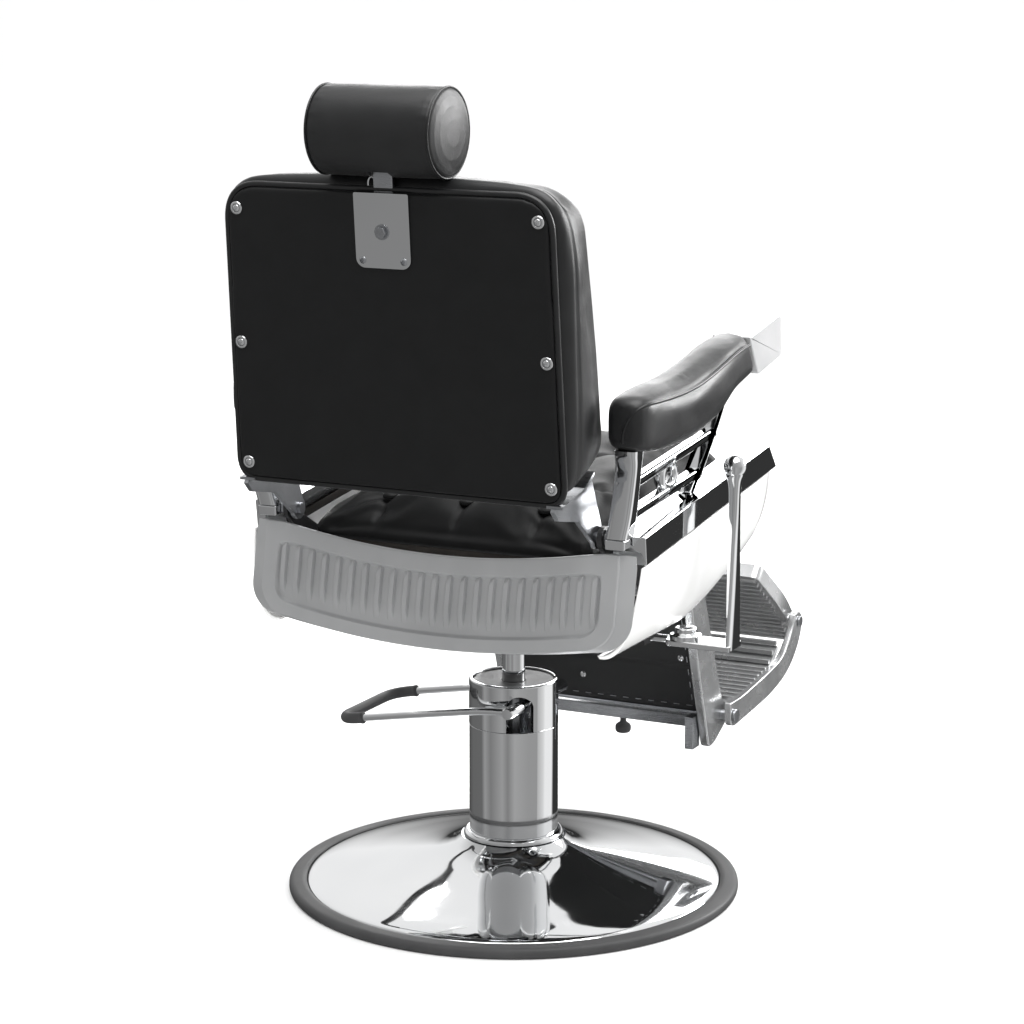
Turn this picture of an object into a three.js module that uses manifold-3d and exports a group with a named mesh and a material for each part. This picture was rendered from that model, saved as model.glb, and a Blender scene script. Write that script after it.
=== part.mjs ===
// Hydraulic barber chair, millimetres, +Z up, sitter faces -Y, column axis on the Z axis.
import * as THREE from "three";
import { mergeVertices } from "three/addons/utils/BufferGeometryUtils.js";
import Module from "manifold-3d";

const wasm = await Module();
wasm.setup();

// Driving dimensions
const rimR = 340;           // outside radius of the rubber rim
const domeR = 312.6;        // outside radius of the chrome dome
const domeTop = 80;         // height of the dome's flat top
const columnR = 67.2;       // column cover and collar radius
const seamZ = 252.5;         // joint between column cover and collar
const collarTop = 323;      // top of the collar
const ramR = 17.5;          // lifting ram radius
const mountZ = 440;         // underside of the swivelling seat mount
const seatTilt = 6.76;      // seat rises towards the front, degrees
const seatPivot = [251, 602];  // y, z of the rear top corner of the seat rails
const railHalf = 310;       // outer face of the seat rails from the centre line
const railW = 50;           // seat rail width
const seatHalf = 226;       // half width of the seat cushion
const backTilt = 4.82;      // rest lean of the back, degrees
const backPoint = [379, 861];  // y, z of a point on the back panel's rear face
const backHalf = 248;       // half width of the back panel
const backPivot = [225, 600];  // y, z of the recline hinge
const legPivot = [-250, 506];  // y, z of the leg rest hinge
const footPivot = [-388, 190]; // y, z of the foot platform hinge
const toePivot = [-674, 283];  // y, z of the toe plate hinge
const leverPivot = [-36, 292]; // x, z of the pump lever shaft (it runs along y)
const rollC = [380, 1158];  // y, z of the headrest roll's centre
const rollR = 61;           // headrest roll radius
const gap = 0.4;            // clearance between touching pieces

const deg = Math.PI / 180;
const V2 = (a, b) => new THREE.Vector2(a, b);

// ---- solids ----
function solid(g) {
  const c = g.index ? g.toNonIndexed() : g.clone();
  for (const k of Object.keys(c.attributes)) if (k !== "position") c.deleteAttribute(k);
  const m = mergeVertices(c, 1e-4), kept = [], i = m.index.array;
  for (let k = 0; k < i.length; k += 3) {
    if (i[k] !== i[k + 1] && i[k] !== i[k + 2] && i[k + 1] !== i[k + 2]) kept.push(i[k], i[k + 1], i[k + 2]);
  }
  m.setIndex(kept);
  if (volume(m) < 0) kept.reverse();
  const mesh = new wasm.Mesh({
    numProp: 3,
    vertProperties: new Float32Array(m.attributes.position.array),
    triVerts: new Uint32Array(kept),
  });
  mesh.merge();
  return new wasm.Manifold(mesh);
}
function geometry(s) {
  const m = s.getMesh();
  const g = new THREE.BufferGeometry();
  g.setAttribute("position", new THREE.BufferAttribute(new Float32Array(m.vertProperties), 3));
  g.setIndex(new THREE.BufferAttribute(new Uint32Array(m.triVerts), 1));
  return g;
}
const add = (...list) => list.reduce((a, b) => a.add(b));
const cut = (a, ...list) => list.reduce((p, b) => p.subtract(b), a);

// box from low corner to high corner
function box(a, b) {
  const g = new THREE.BoxGeometry(b[0] - a[0], b[1] - a[1], b[2] - a[2]);
  return solid(g.translate((a[0] + b[0]) / 2, (a[1] + b[1]) / 2, (a[2] + b[2]) / 2));
}
// cylinder along an axis letter between two coordinates
function rod(axis, r, from, to, c, n = 24) {
  const g = new THREE.CylinderGeometry(r, r, to - from, n);
  if (axis === "x") g.rotateZ(-Math.PI / 2).translate((from + to) / 2, c[0], c[1]);
  if (axis === "y") g.translate(c[0], (from + to) / 2, c[1]);
  if (axis === "z") g.rotateX(Math.PI / 2).translate(c[0], c[1], (from + to) / 2);
  return solid(g);
}
// outline in the y-z plane carried along x
function slabX(points, x0, x1, bevel = 0) {
  const s = new THREE.Shape(points.map(([y, z]) => V2(y, z)));
  const g = new THREE.ExtrudeGeometry(s, {
    depth: x1 - x0 - 2 * bevel, bevelEnabled: bevel > 0, bevelThickness: bevel,
    bevelSize: bevel, bevelOffset: -bevel, bevelSegments: 2, curveSegments: 6, steps: 1,
  });
  const m = new THREE.Matrix4().makeBasis(
    new THREE.Vector3(0, 1, 0), new THREE.Vector3(0, 0, 1), new THREE.Vector3(1, 0, 0));
  return solid(g.applyMatrix4(m).translate(x0 + bevel, 0, 0));
}
// closed ring or disc turned about z from a profile of [radius, z]
function turned(profile, n = 48) {
  const p = profile.map(([r, z]) => V2(r, z));
  p.push(p[0].clone());
  const g = new THREE.LatheGeometry(p, n);
  return solid(g.rotateX(Math.PI / 2).scale(1, -1, 1));
}
// sections with equal point counts joined in order, ends closed
function loft(sections, flat = 2) {
  const n = sections[0].length, pos = [], idx = [];
  for (const s of sections) for (const q of s) pos.push(...q);
  for (let i = 0; i + 1 < sections.length; i++) for (let j = 0; j < n; j++) {
    const a = i * n + j, b = i * n + (j + 1) % n;
    idx.push(a, b, a + n, b, b + n, a + n);
  }
  for (const [k, first] of [[0, true], [sections.length - 1, false]]) {
    const uv = sections[k].map((q) => V2(q[0], q[flat]));
    const around = THREE.ShapeUtils.area(uv) > 0;
    for (const t of THREE.ShapeUtils.triangulateShape(uv, [])) {
      const [a, b, c] = t.map((v) => v + k * n);
      const turn = THREE.ShapeUtils.area([uv[t[0]], uv[t[1]], uv[t[2]]]) > 0;
      idx.push(...((turn === around) === first ? [a, c, b] : [a, b, c]));
    }
  }
  const g = new THREE.BufferGeometry();
  g.setAttribute("position", new THREE.Float32BufferAttribute(pos, 3));
  g.setIndex(idx);
  return solid(g);
}
const at = (pos, i) => new THREE.Vector3(pos[3 * i], pos[3 * i + 1], pos[3 * i + 2]);
function volume(g) {
  const p = g.attributes.position.array, i = g.index.array;
  let v = 0;
  for (let k = 0; k < i.length; k += 3) v += at(p, i[k]).dot(at(p, i[k + 1]).cross(at(p, i[k + 2])));
  return v;
}
// round bar along a smooth path of points
function bar(points, r, n = 10, steps = 40, inner = 0) {
  const s = new THREE.Shape().absarc(0, 0, r, 0, 2 * Math.PI, false);
  if (inner) s.holes.push(new THREE.Path().absarc(0, 0, inner, 0, 2 * Math.PI, true));
  const path = new THREE.CatmullRomCurve3(points.map((q) => new THREE.Vector3(...q)), false, "centripetal");
  return solid(new THREE.ExtrudeGeometry(s, { steps, curveSegments: n, extrudePath: path }));
}
// flat bar in the y-z plane between two points
function link(p, q, w) {
  const dy = q[0] - p[0], dz = q[1] - p[1], l = Math.hypot(dy, dz);
  const ny = -dz / l * w / 2, nz = dy / l * w / 2;
  return [[p[0] + ny, p[1] + nz], [p[0] - ny, p[1] - nz], [q[0] - ny, q[1] - nz], [q[0] + ny, q[1] + nz]];
}
function ring(c, r, n = 20, squash = 1) {
  return Array.from({ length: n }, (_, i) => {
    const a = 2 * Math.PI * i / n;
    return [c[0] + r * Math.cos(a), c[1] + r * squash * Math.sin(a)];
  });
}
// turn a solid about an x-parallel line through [y, z], top towards +y for positive degrees
const lean = (s, c, d) => s.translate([0, -c[0], -c[1]]).rotate([-d, 0, 0]).translate([0, c[0], c[1]]);
const mirrorX = (s) => s.mirror([1, 0, 0]);
const seat = (s) => lean(s, seatPivot, seatTilt);
const back = (s) => lean(s, backPoint, backTilt);
const railTop = (y) => seatPivot[1] + (seatPivot[0] - y) * Math.tan(seatTilt * deg);

// ---- materials ----
const looks = {
  chrome: [0xd6d8da, 0.08, 1], steel: [0x8d9094, 0.35, 1], rubber: [0x1b1b1c, 0.75, 0],
  vinyl: [0x161617, 0.42, 0], silver: [0xa9abad, 0.38, 0.6], white: [0xf1f1ef, 0.12, 0],
  alloy: [0xb9bbbd, 0.32, 1], black: [0x121213, 0.4, 0.1], board: [0x8a6a45, 0.8, 0],
};
const chair = new THREE.Group();
chair.name = "barber_chair";
function piece(name, look, s) {
  const [color, roughness, metalness] = looks[look];
  const g = geometry(s).toNonIndexed();
  g.computeVertexNormals();
  const mesh = new THREE.Mesh(g, new THREE.MeshStandardMaterial({ color, roughness, metalness }));
  mesh.material.name = look;
  mesh.name = name;
  chair.add(mesh);
}
function pair(name, look, s) {
  piece(name + "_left", look, s);
  piece(name + "_right", look, mirrorX(s));
}

// ---- base, column and pump ----
function base() {
  piece("base_plate", "steel", turned([[0, 0], [domeR - 0.6, 0], [domeR - 0.6, 6], [0, 6]], 48));
  piece("rubber_rim", "rubber", turned([[domeR + 0.6, 0], [rimR - 3, 0], [rimR, 3], [rimR, 11],
    [rimR - 4, 15.5], [domeR + 6, 17], [domeR + 0.6, 15]], 56));
  const skin = [[domeR, 6.5], [domeR, 14], [292, 20], [235, 30], [170, 42], [118, 54],
    [95, 64], [83, 74], [78, domeTop], [60, domeTop]];
  const under = [[60, domeTop - 4], [75, domeTop - 4], [90, 62], [118, 50], [235, 26.5], [domeR - 3, 10],
    [domeR - 3, 6.5]];
  piece("base_dome", "chrome", turned([...skin, ...under], 48));
  piece("pump_cylinder", "steel", turned([[0, 6.4], [56, 6.4], [56, 18], [26, 18], [26, 303],
    [ramR + 0.5, 303], [ramR + 0.5, 18], [0, 18]], 32));
  piece("oil_reservoir", "steel", turned([[27, 18.4], [55, 18.4], [55, 232], [52, 235], [27, 235]], 32));
  piece("column_cover", "chrome", turned([[63.5, domeTop + gap], [columnR - 0.4, domeTop + gap],
    [columnR - 0.4, seamZ - 1], [columnR - 1.4, seamZ - gap], [63.5, seamZ - gap]], 48));
  piece("trim_ring", "chrome", turned([[columnR + 0.1, domeTop + gap], [76, domeTop + gap], [75, 83],
    [70, 87], [columnR + 0.1, 89]], 48));
}
function collar() {
  const tube = turned([[61, seamZ], [columnR, seamZ], [columnR, collarTop - 6],
    [columnR - 2, collarTop - 2], [columnR - 5, collarTop], [61, collarTop]], 56);
  const arch = add(rod("y", 17, -90, 90, leverPivot), box([leverPivot[0] - 17, -90, seamZ - 1],
    [leverPivot[0] + 17, 90, leverPivot[1]]));
  piece("collar", "chrome", cut(tube, arch));
  piece("collar_dish", "black", turned([[ramR + 0.5, 305], [60.6, 305], [60.6, 319],
    [56, 320], [38, 318.5], [ramR + 0.5, 318]], 40));
}
function pumpLever() {
  const [px, pz] = leverPivot;
  const drop = (x) => pz - Math.max(0, x - 10) * 0.175 - 2 * Math.min(1, (x - px) / 46);
  const side = (x, y) => [x, y, drop(x)];
  const path = [side(px, 88), side(10, 88), side(80, 88), side(150, 88), side(212, 87), side(239, 78),
    side(251, 60), side(252, 0), side(251, -60), side(239, -78), side(212, -87), side(150, -88),
    side(80, -88), side(10, -88), side(px, -88)];
  const shaft = rod("y", 6, -70, 70, leverPivot, 20);
  const hub = add(rod("y", 9, 52, 97, leverPivot, 20), rod("y", 9, -97, -52, leverPivot, 20));
  piece("pump_lever", "chrome", add(shaft, hub, bar(path, 5.5, 4, 40)));
  const curve = new THREE.CatmullRomCurve3(path.map((q) => new THREE.Vector3(...q)), false, "centripetal");
  const grip = Array.from({ length: 41 }, (_, i) => curve.getPointAt(0.335 + 0.33 * i / 40).toArray());
  piece("lever_grip", "rubber", bar(grip, 9, 5, 22, 6.6));
}
function lift() {
  piece("ram", "chrome", turned([[0, 122], [ramR, 122], [ramR, mountZ - 10], [62, mountZ - 10],
    [62, mountZ - gap], [0, mountZ - gap]], 36));
}

// ---- seat ----
function seatBase() {
  const top = (y) => seatPivot[1] - 105.6 + (seatPivot[0] - y) * Math.tan(seatTilt * deg);
  const web = slabX([[148, mountZ], [-62, mountZ], [-62, top(-62)], [148, top(148)]], 70, 78);
  piece("seat_mount", "black", add(box([-110, -100, mountZ], [110, 150, mountZ + 9]), web, mirrorX(web),
    rod("z", 40, mountZ, 470, [0, 0], 32)));
  const frame = add(box([218, -238, 498], [228, 176, 537]), box([-228, -238, 498], [-218, 176, 537]),
    box([-219, 120, 498], [219, 150, 524]), box([-219, -60, 498], [219, -20, 524]),
    box([-219, -238, 498], [219, -208, 524]));
  const [py, pz] = backPivot;
  const ear = (x0) => add(slabX(ring([py, pz], 17), x0, x0 + 7),
    slabX([[150, 560], [100, 530], [120, 510], [208, 560], [238, 590], [py, pz]], x0, x0 + 7));
  const strap = (x0, x1) => box([x0, 104, 498], [x1, 150, 536]);
  const body = add(seat(add(frame, strap(227, 252), strap(-252, -227))), ear(245), ear(-252));
  piece("seat_frame", "black", cut(body, rod("x", 8.4, 240, 256, backPivot, 20), rod("x", 8.4, -256, -240, backPivot, 20)));
  piece("seat_board", "board", seat(box([-217, -262, 538], [217, 205, 550])));
  piece("seat_cushion", "vinyl", seat(slabX([[212, 550.4], [222, 562], [220, 583], [200, 600], [150, 607],
    [-200, 610], [-258, 606], [-280, 590], [-284, 564], [-270, 550.4]], -seatHalf, seatHalf, 12)));
  const bolt = (x) => add(rod("x", 8, x - 11, x + 14, backPivot, 20), rod("x", 12, x + 13.5, x + 19, backPivot, 6));
  pair("recline_bolt", "steel", bolt(230 + 10));
}
function rails() {
  const rail = slabX([[223, 602], [-243, 602], [-269, 562], [223, 562]], railHalf - railW, railHalf, 2);
  const inside = slabX([[218, 598], [-240, 598], [-262, 556], [218, 556]], railHalf - railW + 4, railHalf - 4);
  pair("seat_rail", "chrome", seat(cut(rail, inside)));
}
function sidePanels() {
  const skew = (z) => 0.2 * (600 - z);
  const low = (y) => 436 + 74 * Math.pow(Math.max(0, Math.min(1, (20 - y) / 270)), 1.5);
  const ys = [221, 120, 20, -40, -100, -150, -205, -258];
  const sections = ys.map((y, i) => {
    const zt = railTop(y) - 42, zl = low(y), pts = [], inner = [];
    for (let k = 0; k <= 8; k++) {
      const a = k / 8 * Math.PI / 2;
      const x = 256 + 54 * Math.pow(Math.cos(a), 0.75), z = zt - (zt - zl) * Math.pow(Math.sin(a), 1.25);
      const yy = y + skew(z) * Math.max(0, 1 - i / 2);
      pts.push([x, yy, z]);
      inner.push([x - 4, yy, z + 5 * k / 8]);
    }
    return [...pts, ...inner.reverse()];
  });
  pair("side_panel", "white", loft(sections));
}
function rearSkirt() {
  const top = (x) => 554 + 33 * (x / 293) ** 2 - 3 * (x / 293) ** 6;
  const low = (x) => 421 + 0.00036 * x * x;
  const pts = [];
  for (let i = 0; i <= 20; i++) { const x = -292 + 29.2 * i; pts.push([x, top(x)]); }
  const c = 52, half = 294;
  for (let i = 0; i <= 6; i++) {
    const a = -i / 6 * Math.PI / 2;
    pts.push([half - c + c * Math.cos(a), low(half - c) + c * 0.9 + c * 0.9 * Math.sin(a)]);
  }
  for (let i = 1; i < 12; i++) { const x = (half - c) * (1 - i / 6); pts.push([x, low(x)]); }
  for (let i = 6; i >= 0; i--) {
    const a = -i / 6 * Math.PI / 2;
    pts.push([-half + c - c * Math.cos(a), low(half - c) + c * 0.9 + c * 0.9 * Math.sin(a)]);
  }
  const layer = (list, y, width) => list.map(([x, z]) => [x * width / half, y, z]);
  const recess = pts.map(([x, z]) => [x, z > (top(x) + low(x)) / 2 ? z - 24 : z + 18]);
  let s = cut(loft([layer(pts, 225, 300), layer(pts, 239, 280)]),
    loft([layer(recess, 233, 264), layer(recess, 241, 264)]));
  for (let i = 0; i < 23; i++) {
    const x = 22.4 * (i - 11), z0 = low(x) + 28, z1 = top(x) - 27;
    s = s.add(box([x - 6, 231, z0], [x + 6, 237.5, z1]));
  }
  piece("rear_skirt", "silver", lean(s, [225, 600], -11.3));
}

// ---- arms ----
function arms() {
  const r = (y) => railTop(y) + gap + 0.3;
  const x0 = 270, x1 = 292;
  const support = add(
    loft([[[262, 214, r(214)], [292, 214, r(214)], [292, 250, r(250)], [262, 250, r(250)]],
      [[275, 222, 723.2], [308, 222, 723.2], [308, 256, 729], [275, 256, 729]]], 1),
    box([262, 226, 589.5], [289, 249, 604]),
    slabX([[20, r(20)], [-67, 705], [-92, 748], [-100, 765], [-126, 769.5], [-118, 752], [-84, 712],
      [-7, r(-7)]], x0, x1, 1.5),
    slabX(link([-80, 705], [232, 674], 15), x0 + 6, x1 - 2),
    slabX(link([-30, 655], [226, 633], 15), x0 + 2, x1 - 4),
    slabX(ring([88, 669], 30, 20, 0.82), x0 + 3, x1 - 3));
  piece("arm_support_left", "chrome", cut(support, slabX(ring([88, 669], 15, 16, 0.7), x0, x1)));
  piece("arm_support_right", "chrome", cut(mirrorX(support),
    slabX(ring([88, 669], 15, 16, 0.7), -x1, -x0)));
  // y, lowest z, highest z, inner x, outer x, and how far the foot of the row runs forward
  const rows = [[268, 742, 792, 276, 314, 0], [258, 733.5, 799, 269, 324, 0], [240, 727.5, 803, 264, 329, 0],
    [200, 723, 806, 259, 331, 0], [150, 721, 807, 256, 332, 0], [100, 722, 811, 255, 332, 0],
    [50, 728, 818, 255, 331, 3], [0, 740, 826, 256, 329, 10], [-60, 766, 836, 258, 325, 22],
    [-125, 779, 842, 261, 318, 38]];
  const pad = rows.map(([y, z0, z1, xa, xb, slant]) => {
    const q = [], rr = 12, cx = (xa + xb) / 2, hx = (xb - xa) / 2, cz = (z0 + z1) / 2, hz = (z1 - z0) / 2;
    for (const [sx, sz, a0] of [[1, 1, 0], [-1, 1, 90], [-1, -1, 180], [1, -1, 270]]) {
      for (let k = 0; k <= 2; k++) {
        const a = (a0 + 45 * k) * deg;
        const z = cz + sz * (hz - rr) + rr * Math.sin(a);
        q.push([cx + sx * (hx - rr) + rr * Math.cos(a), y - slant * (z1 - z) / (z1 - z0), z]);
      }
    }
    return q;
  });
  pair("arm_pad", "vinyl", loft(pad));
  pair("arm_cap", "chrome", slabX([[-128.6, 838], [-246, 858], [-252, 854], [-256, 799], [-252, 795],
    [-164.4, 779]], 260, 320, 2));
}

// ---- back and headrest ----
function backRest() {
  const [by, bz] = backPoint, half = backHalf, zb = bz - 193, zt = bz + 219, rt = 40;
  const outline = [[-half - 2, zb + 8], [-half + 6, zb], [half - 6, zb], [half + 2, zb + 8]];
  for (let i = 0; i <= 6; i++) {
    const a = i / 6 * Math.PI / 2;
    outline.push([half - 2 - rt + rt * Math.cos(a), zt - rt + rt * Math.sin(a)]);
  }
  for (let i = 6; i >= 0; i--) {
    const a = i / 6 * Math.PI / 2;
    outline.push([-(half - 2 - rt + rt * Math.cos(a)), zt - rt + rt * Math.sin(a)]);
  }
  const g = new THREE.ExtrudeGeometry(new THREE.Shape(outline.map(([x, z]) => V2(x, z))),
    { depth: 12, bevelEnabled: false });
  let panel = solid(g.rotateX(Math.PI / 2).translate(0, by, 0));
  panel = cut(panel, box([-17, by - 13, bz + 60], [17, by - 3, bz + 230]),
    rod("y", 4.4, by - 20, by + 5, [0, bz + 165], 16));
  piece("back_panel", "vinyl", back(panel));
  const f = by - 12.4;
  const side = [[f, zb + 1], [f - 60, zb + 8], [f - 98, zb + 26], [f - 118, zb + 36], [f - 126, zb + 50],
    [f - 126, zb + 62], [f - 108, zb + 188], [f - 80, zt - 82], [f - 70, zt - 20], [f - 52, zt + 9],
    [f - 20, zt + 11], [f, zt - 2]];
  piece("back_cushion", "vinyl", back(cut(slabX(side, -259, 259, 14),
    box([-18, f - 3, bz + 58], [18, f + 1, bz + 240]))));
  const [py, pz] = backPivot;
  const arm = add(slabX(ring([py, pz], 16), 234, 241),
    slabX([[py - 12, pz + 8], [py + 14, pz - 6], [290, 634], [352, 646], [366, 660], [363.4, 664],
      [300, 668.5], [262, 688], [250, 688]], 234, 241),
    back(slabX([[f + 11, zb - 5], [f + 11, zb - 1], [f, zb - 1], [f - 60, zb + 6.8], [f - 92, zb + 22], [f - 92, zb + 17],
      [f - 60, zb + 1.5], [f - 10, zb - 5]], 226, 250)));
  pair("back_arm", "steel", cut(arm, rod("x", 8.3, 200, 260, backPivot, 20)));
  let n = 0;
  for (const [v, h] of [[187, 228], [0, 233.5], [-171, 233.5]]) for (const s of [1, -1]) {
    const c = [s * h, bz + v];
    piece(`back_screw_${++n}`, "chrome", back(turned([[0, 0], [9, 0], [7.6, 3], [5, 3.4], [4, 4.6], [0, 5]], 16)
      .rotate([-90, 0, 0]).translate([c[0], by + gap, c[1]])));
  }
}
function headrest() {
  const [by, bz] = backPoint;
  const plate = [[-41.5, 217], [-41.5, 122], [-33, 115], [33, 115], [41.5, 122], [41.5, 217]];
  const g = new THREE.ExtrudeGeometry(new THREE.Shape(plate.map(([x, z]) => V2(x, z + bz))),
    { depth: 3, bevelEnabled: false });
  let p = solid(g.rotateX(Math.PI / 2).translate(0, by + gap + 3, 0));
  p = cut(p, rod("y", 4.4, by - 5, by + 9, [0, bz + 165], 16));
  piece("headrest_plate", "chrome", back(p));
  piece("clamp_bolt", "steel", back(add(rod("y", 4, by - 4.6, by + 6, [0, bz + 165], 16),
    rod("y", 11, by + 3.8, by + 5.6, [0, bz + 165], 20), rod("y", 8, by + 5, by + 12, [0, bz + 165], 6))));
  const [ry, rz] = rollC;
  const post = back(box([-14.5, by - 11, bz + 82], [14.5, by - 5, bz + 268]));
  const neck = slabX([[389.5, 1122], [396.5, 1122], [ry + 6, rz], [ry - 6, rz]], -14.5, 14.5);
  const boss = rod("x", 11, -14.5, 14.5, rollC, 24);
  piece("headrest_post", "steel", cut(add(post, neck, boss), rod("x", 4.4, -20, 20, rollC, 20),
    box([-20, 300, rz + 12], [20, 500, rz + 60])));
  let roll = rod("x", rollR, -92, 92, rollC, 40);
  roll = add(roll, rod("x", rollR - 6, -99, 99, rollC, 40));
  const mouth = slabX([[ry - 14, rz + 14], [ry + 14, rz + 14], [ry + 34, rz - 66], [ry - 24, rz - 66]], -17, 17);
  piece("headrest_roll", "vinyl", cut(roll, mouth, rod("x", 4.8, -34, 34, rollC, 20)));
  piece("headrest_pin", "steel", rod("x", 4, -33, 33, rollC, 20));
}

// ---- leg rest ----
function legRest() {
  const [ly, lz] = legPivot;
  const ear = add(box([184.5, -262, 492], [190.5, -226, 545]), slabX(ring(legPivot, 17), 184.5, 190.5));
  const trim = seat(box([150, -300, 497.6], [220, -150, 600]));
  const foot = box([150, -262, 540], [190.5, -226, 575]);
  pair("leg_ear", "black", cut(add(ear, foot), trim, rod("x", 7.4, 180, 195, legPivot, 20)));
  const eye = (p, r) => rod("x", r, 160, 196, p, 20);
  const leg = add(slabX(ring(legPivot, 22), 165, 180),
    slabX([[ly + 21, lz + 4], [-273, 335], [-336, 148], [-358, 150], [-405, 172], [-412, 190], [-404, 210],
      [-388, 216], [-346, 318], [ly - 21, lz - 6]], 165, 180));
  pair("leg_bar", "alloy", cut(leg, eye(footPivot, 8.4), eye(legPivot, 7.4)));
  piece("leg_shaft", "steel", add(rod("x", 7, -192, 192, legPivot, 20), rod("x", 11, 191, 195, legPivot, 20),
    rod("x", 11, -195, -191, legPivot, 20)));
  const at2 = (z, off) => -273 - (335 - z) * 0.337 - off;
  piece("calf_panel", "vinyl", slabX([[at2(205, 12), 205], [at2(400, 12), 400], [at2(400, 34), 404],
    [at2(300, 46), 304], [at2(205, 36), 208]], -164.5, 164.5, 3));
  const lug = box([150, -334, 150], [164.5, -306, 203]);
  piece("calf_bar", "steel", add(slabX([[at2(180, 4), 180], [at2(200, 4), 200], [at2(200, 20), 200],
    [at2(180, 20), 180]], -164.5, 164.5), lug, mirrorX(lug)));
}
function footRest() {
  const [fy, fz] = footPivot;
  const side = slabX([[-372, 214], [-374, 178], [-391, 172], [-548, 186], [-626, 205], [-671, 238],
    [-690, 270], [-690, 290], [-678, 300], [-660, 301], [-640, 266], [-600, 236], [-542, 226],
    [-484, 220], [-419, 213]], 190, 201);
  const tread = slabX([[-414, 196], [-414, 205], [-560, 226], [-575, 236], [-580, 230], [-566, 216]], -191, 191);
  const tab = box([-12, -420, 196], [12, -397.5, 204]);
  let s = add(side, mirrorX(side), tread, tab);
  for (let i = 0; i < 9; i++) {
    const y = -424 - 16 * i, z = 205 + (-414 - y) * 0.144;
    s = s.add(slabX([[y + 3.5, z - 2], [y + 2, z + 5], [y - 2, z + 5.5], [y - 3.5, z - 2]], -190.5, 190.5));
  }
  const hole = (x) => rod("x", 6.4, x, x + 20, toePivot, 20);
  const pinHole = (x) => rod("x", 8.3, x, x + 20, footPivot, 20);
  piece("foot_platform", "alloy", cut(s, hole(186), hole(-206), pinHole(186), pinHole(-206)));
  piece("foot_shaft", "steel", add(rod("x", 8, -203, 203, footPivot, 20),
    rod("x", 11, 201.4, 206, footPivot, 20), rod("x", 11, -206, -201.4, footPivot, 20)));
  piece("foot_stop", "rubber", turned([[0, 138], [10, 138], [13, 142], [13, 150], [9, 154], [5, 156],
    [5, 199.5], [0, 199.5]], 20).translate([0, -405, -4]));
}
function toePlate() {
  const tilt = 43 * deg, [ty, tz] = toePivot;
  const place = (s) => s.rotate([tilt / deg, 0, 0]).translate([0, ty, tz]);
  const outline = [[172, -56], [184, -30], [184, 50], [167, 142], [-167, 142], [-184, 50], [-184, -30],
    [-172, -56]];
  const plate = (list, z0, z1) => solid(new THREE.ExtrudeGeometry(
    new THREE.Shape(list.map(([x, y]) => V2(x, y))), { depth: z1 - z0, bevelEnabled: false }).translate(0, 0, z0));
  const inset = outline.map(([x, y]) => [x * 0.955, y < 0 ? y + 6 : y - 8]);
  let s = cut(plate(outline, -6, 20), plate(inset, 2, 22));
  for (let i = 0; i < 15; i++) {
    const y = -49 + 13 * i, h = y < 50 ? 172 : 172 - (y - 50) / 92 * 12;
    s = s.add(box([-h, y - 3, -11], [h, y + 3, -4]));
  }
  for (const k of [1, -1]) {
    s = s.add(rod("x", 12, k > 0 ? 173 : -186, k > 0 ? 186 : -173, [0, 0], 24));
  }
  piece("toe_plate", "alloy", cut(place(s), rod("x", 6.4, -192, 192, toePivot, 20)));
  piece("toe_shaft", "steel", add(rod("x", 6, -203, 203, toePivot, 20), rod("x", 9, 201.4, 205, toePivot, 20),
    rod("x", 9, -205, -201.4, toePivot, 20)));
}

// ---- recline lock and its lever ----
function recline() {
  const c = [150, 478];
  piece("lock_cylinder", "steel", cut(rod("y", 14, -40, 116, c, 24), rod("y", 5.5, 12, 117, c, 16)));
  piece("lock_rod", "chrome", add(rod("y", 5, 68, 190, c, 16), rod("y", 9, 172, 192, c, 16)));
  const y = -15;
  const strap = loft([[405, 26, 0], [430, 26, 1], [560, 18, 1], [610, 10, 1], [655, 8, 1]].map(([z, w]) => [
    [-341, y + w, z], [-341, y - w, z], [-349, y - w, z], [-349, y + w, z]]), 1);
  const foot = box([-349, y - 26, 400], [-238, y + 26, 408]);
  const knob = solid(new THREE.SphereGeometry(17, 16, 12).scale(1, 1, 1.15).translate(-345, y, 668));
  const hub = add(rod("z", 24, 407, 416, [-272, y], 28), rod("z", 17, 415, 426, [-272, y], 28));
  const shaft = add(rod("x", 9, -244, -222, [y, 404], 20), rod("x", 6, -230, -196, [y, 404], 20));
  piece("recline_lever", "chrome", add(strap, foot, knob, hub, shaft));
  const hanger = slabX([[y - 22, 396], [y + 22, 396], [y + 30, 450], [y + 38, 560], [y - 38, 560], [y - 30, 450]],
    -216, -208);
  const trim = seat(box([-260, -200, 497.6], [-150, 200, 700]));
  piece("lever_bracket", "black", cut(hanger, trim, rod("x", 6.4, -220, -200, [y, 404], 20)));
}

base();
collar();
pumpLever();
lift();
seatBase();
rails();
sidePanels();
rearSkirt();
arms();
backRest();
headrest();
legRest();
footRest();
toePlate();
recline();
export default chair;
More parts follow.
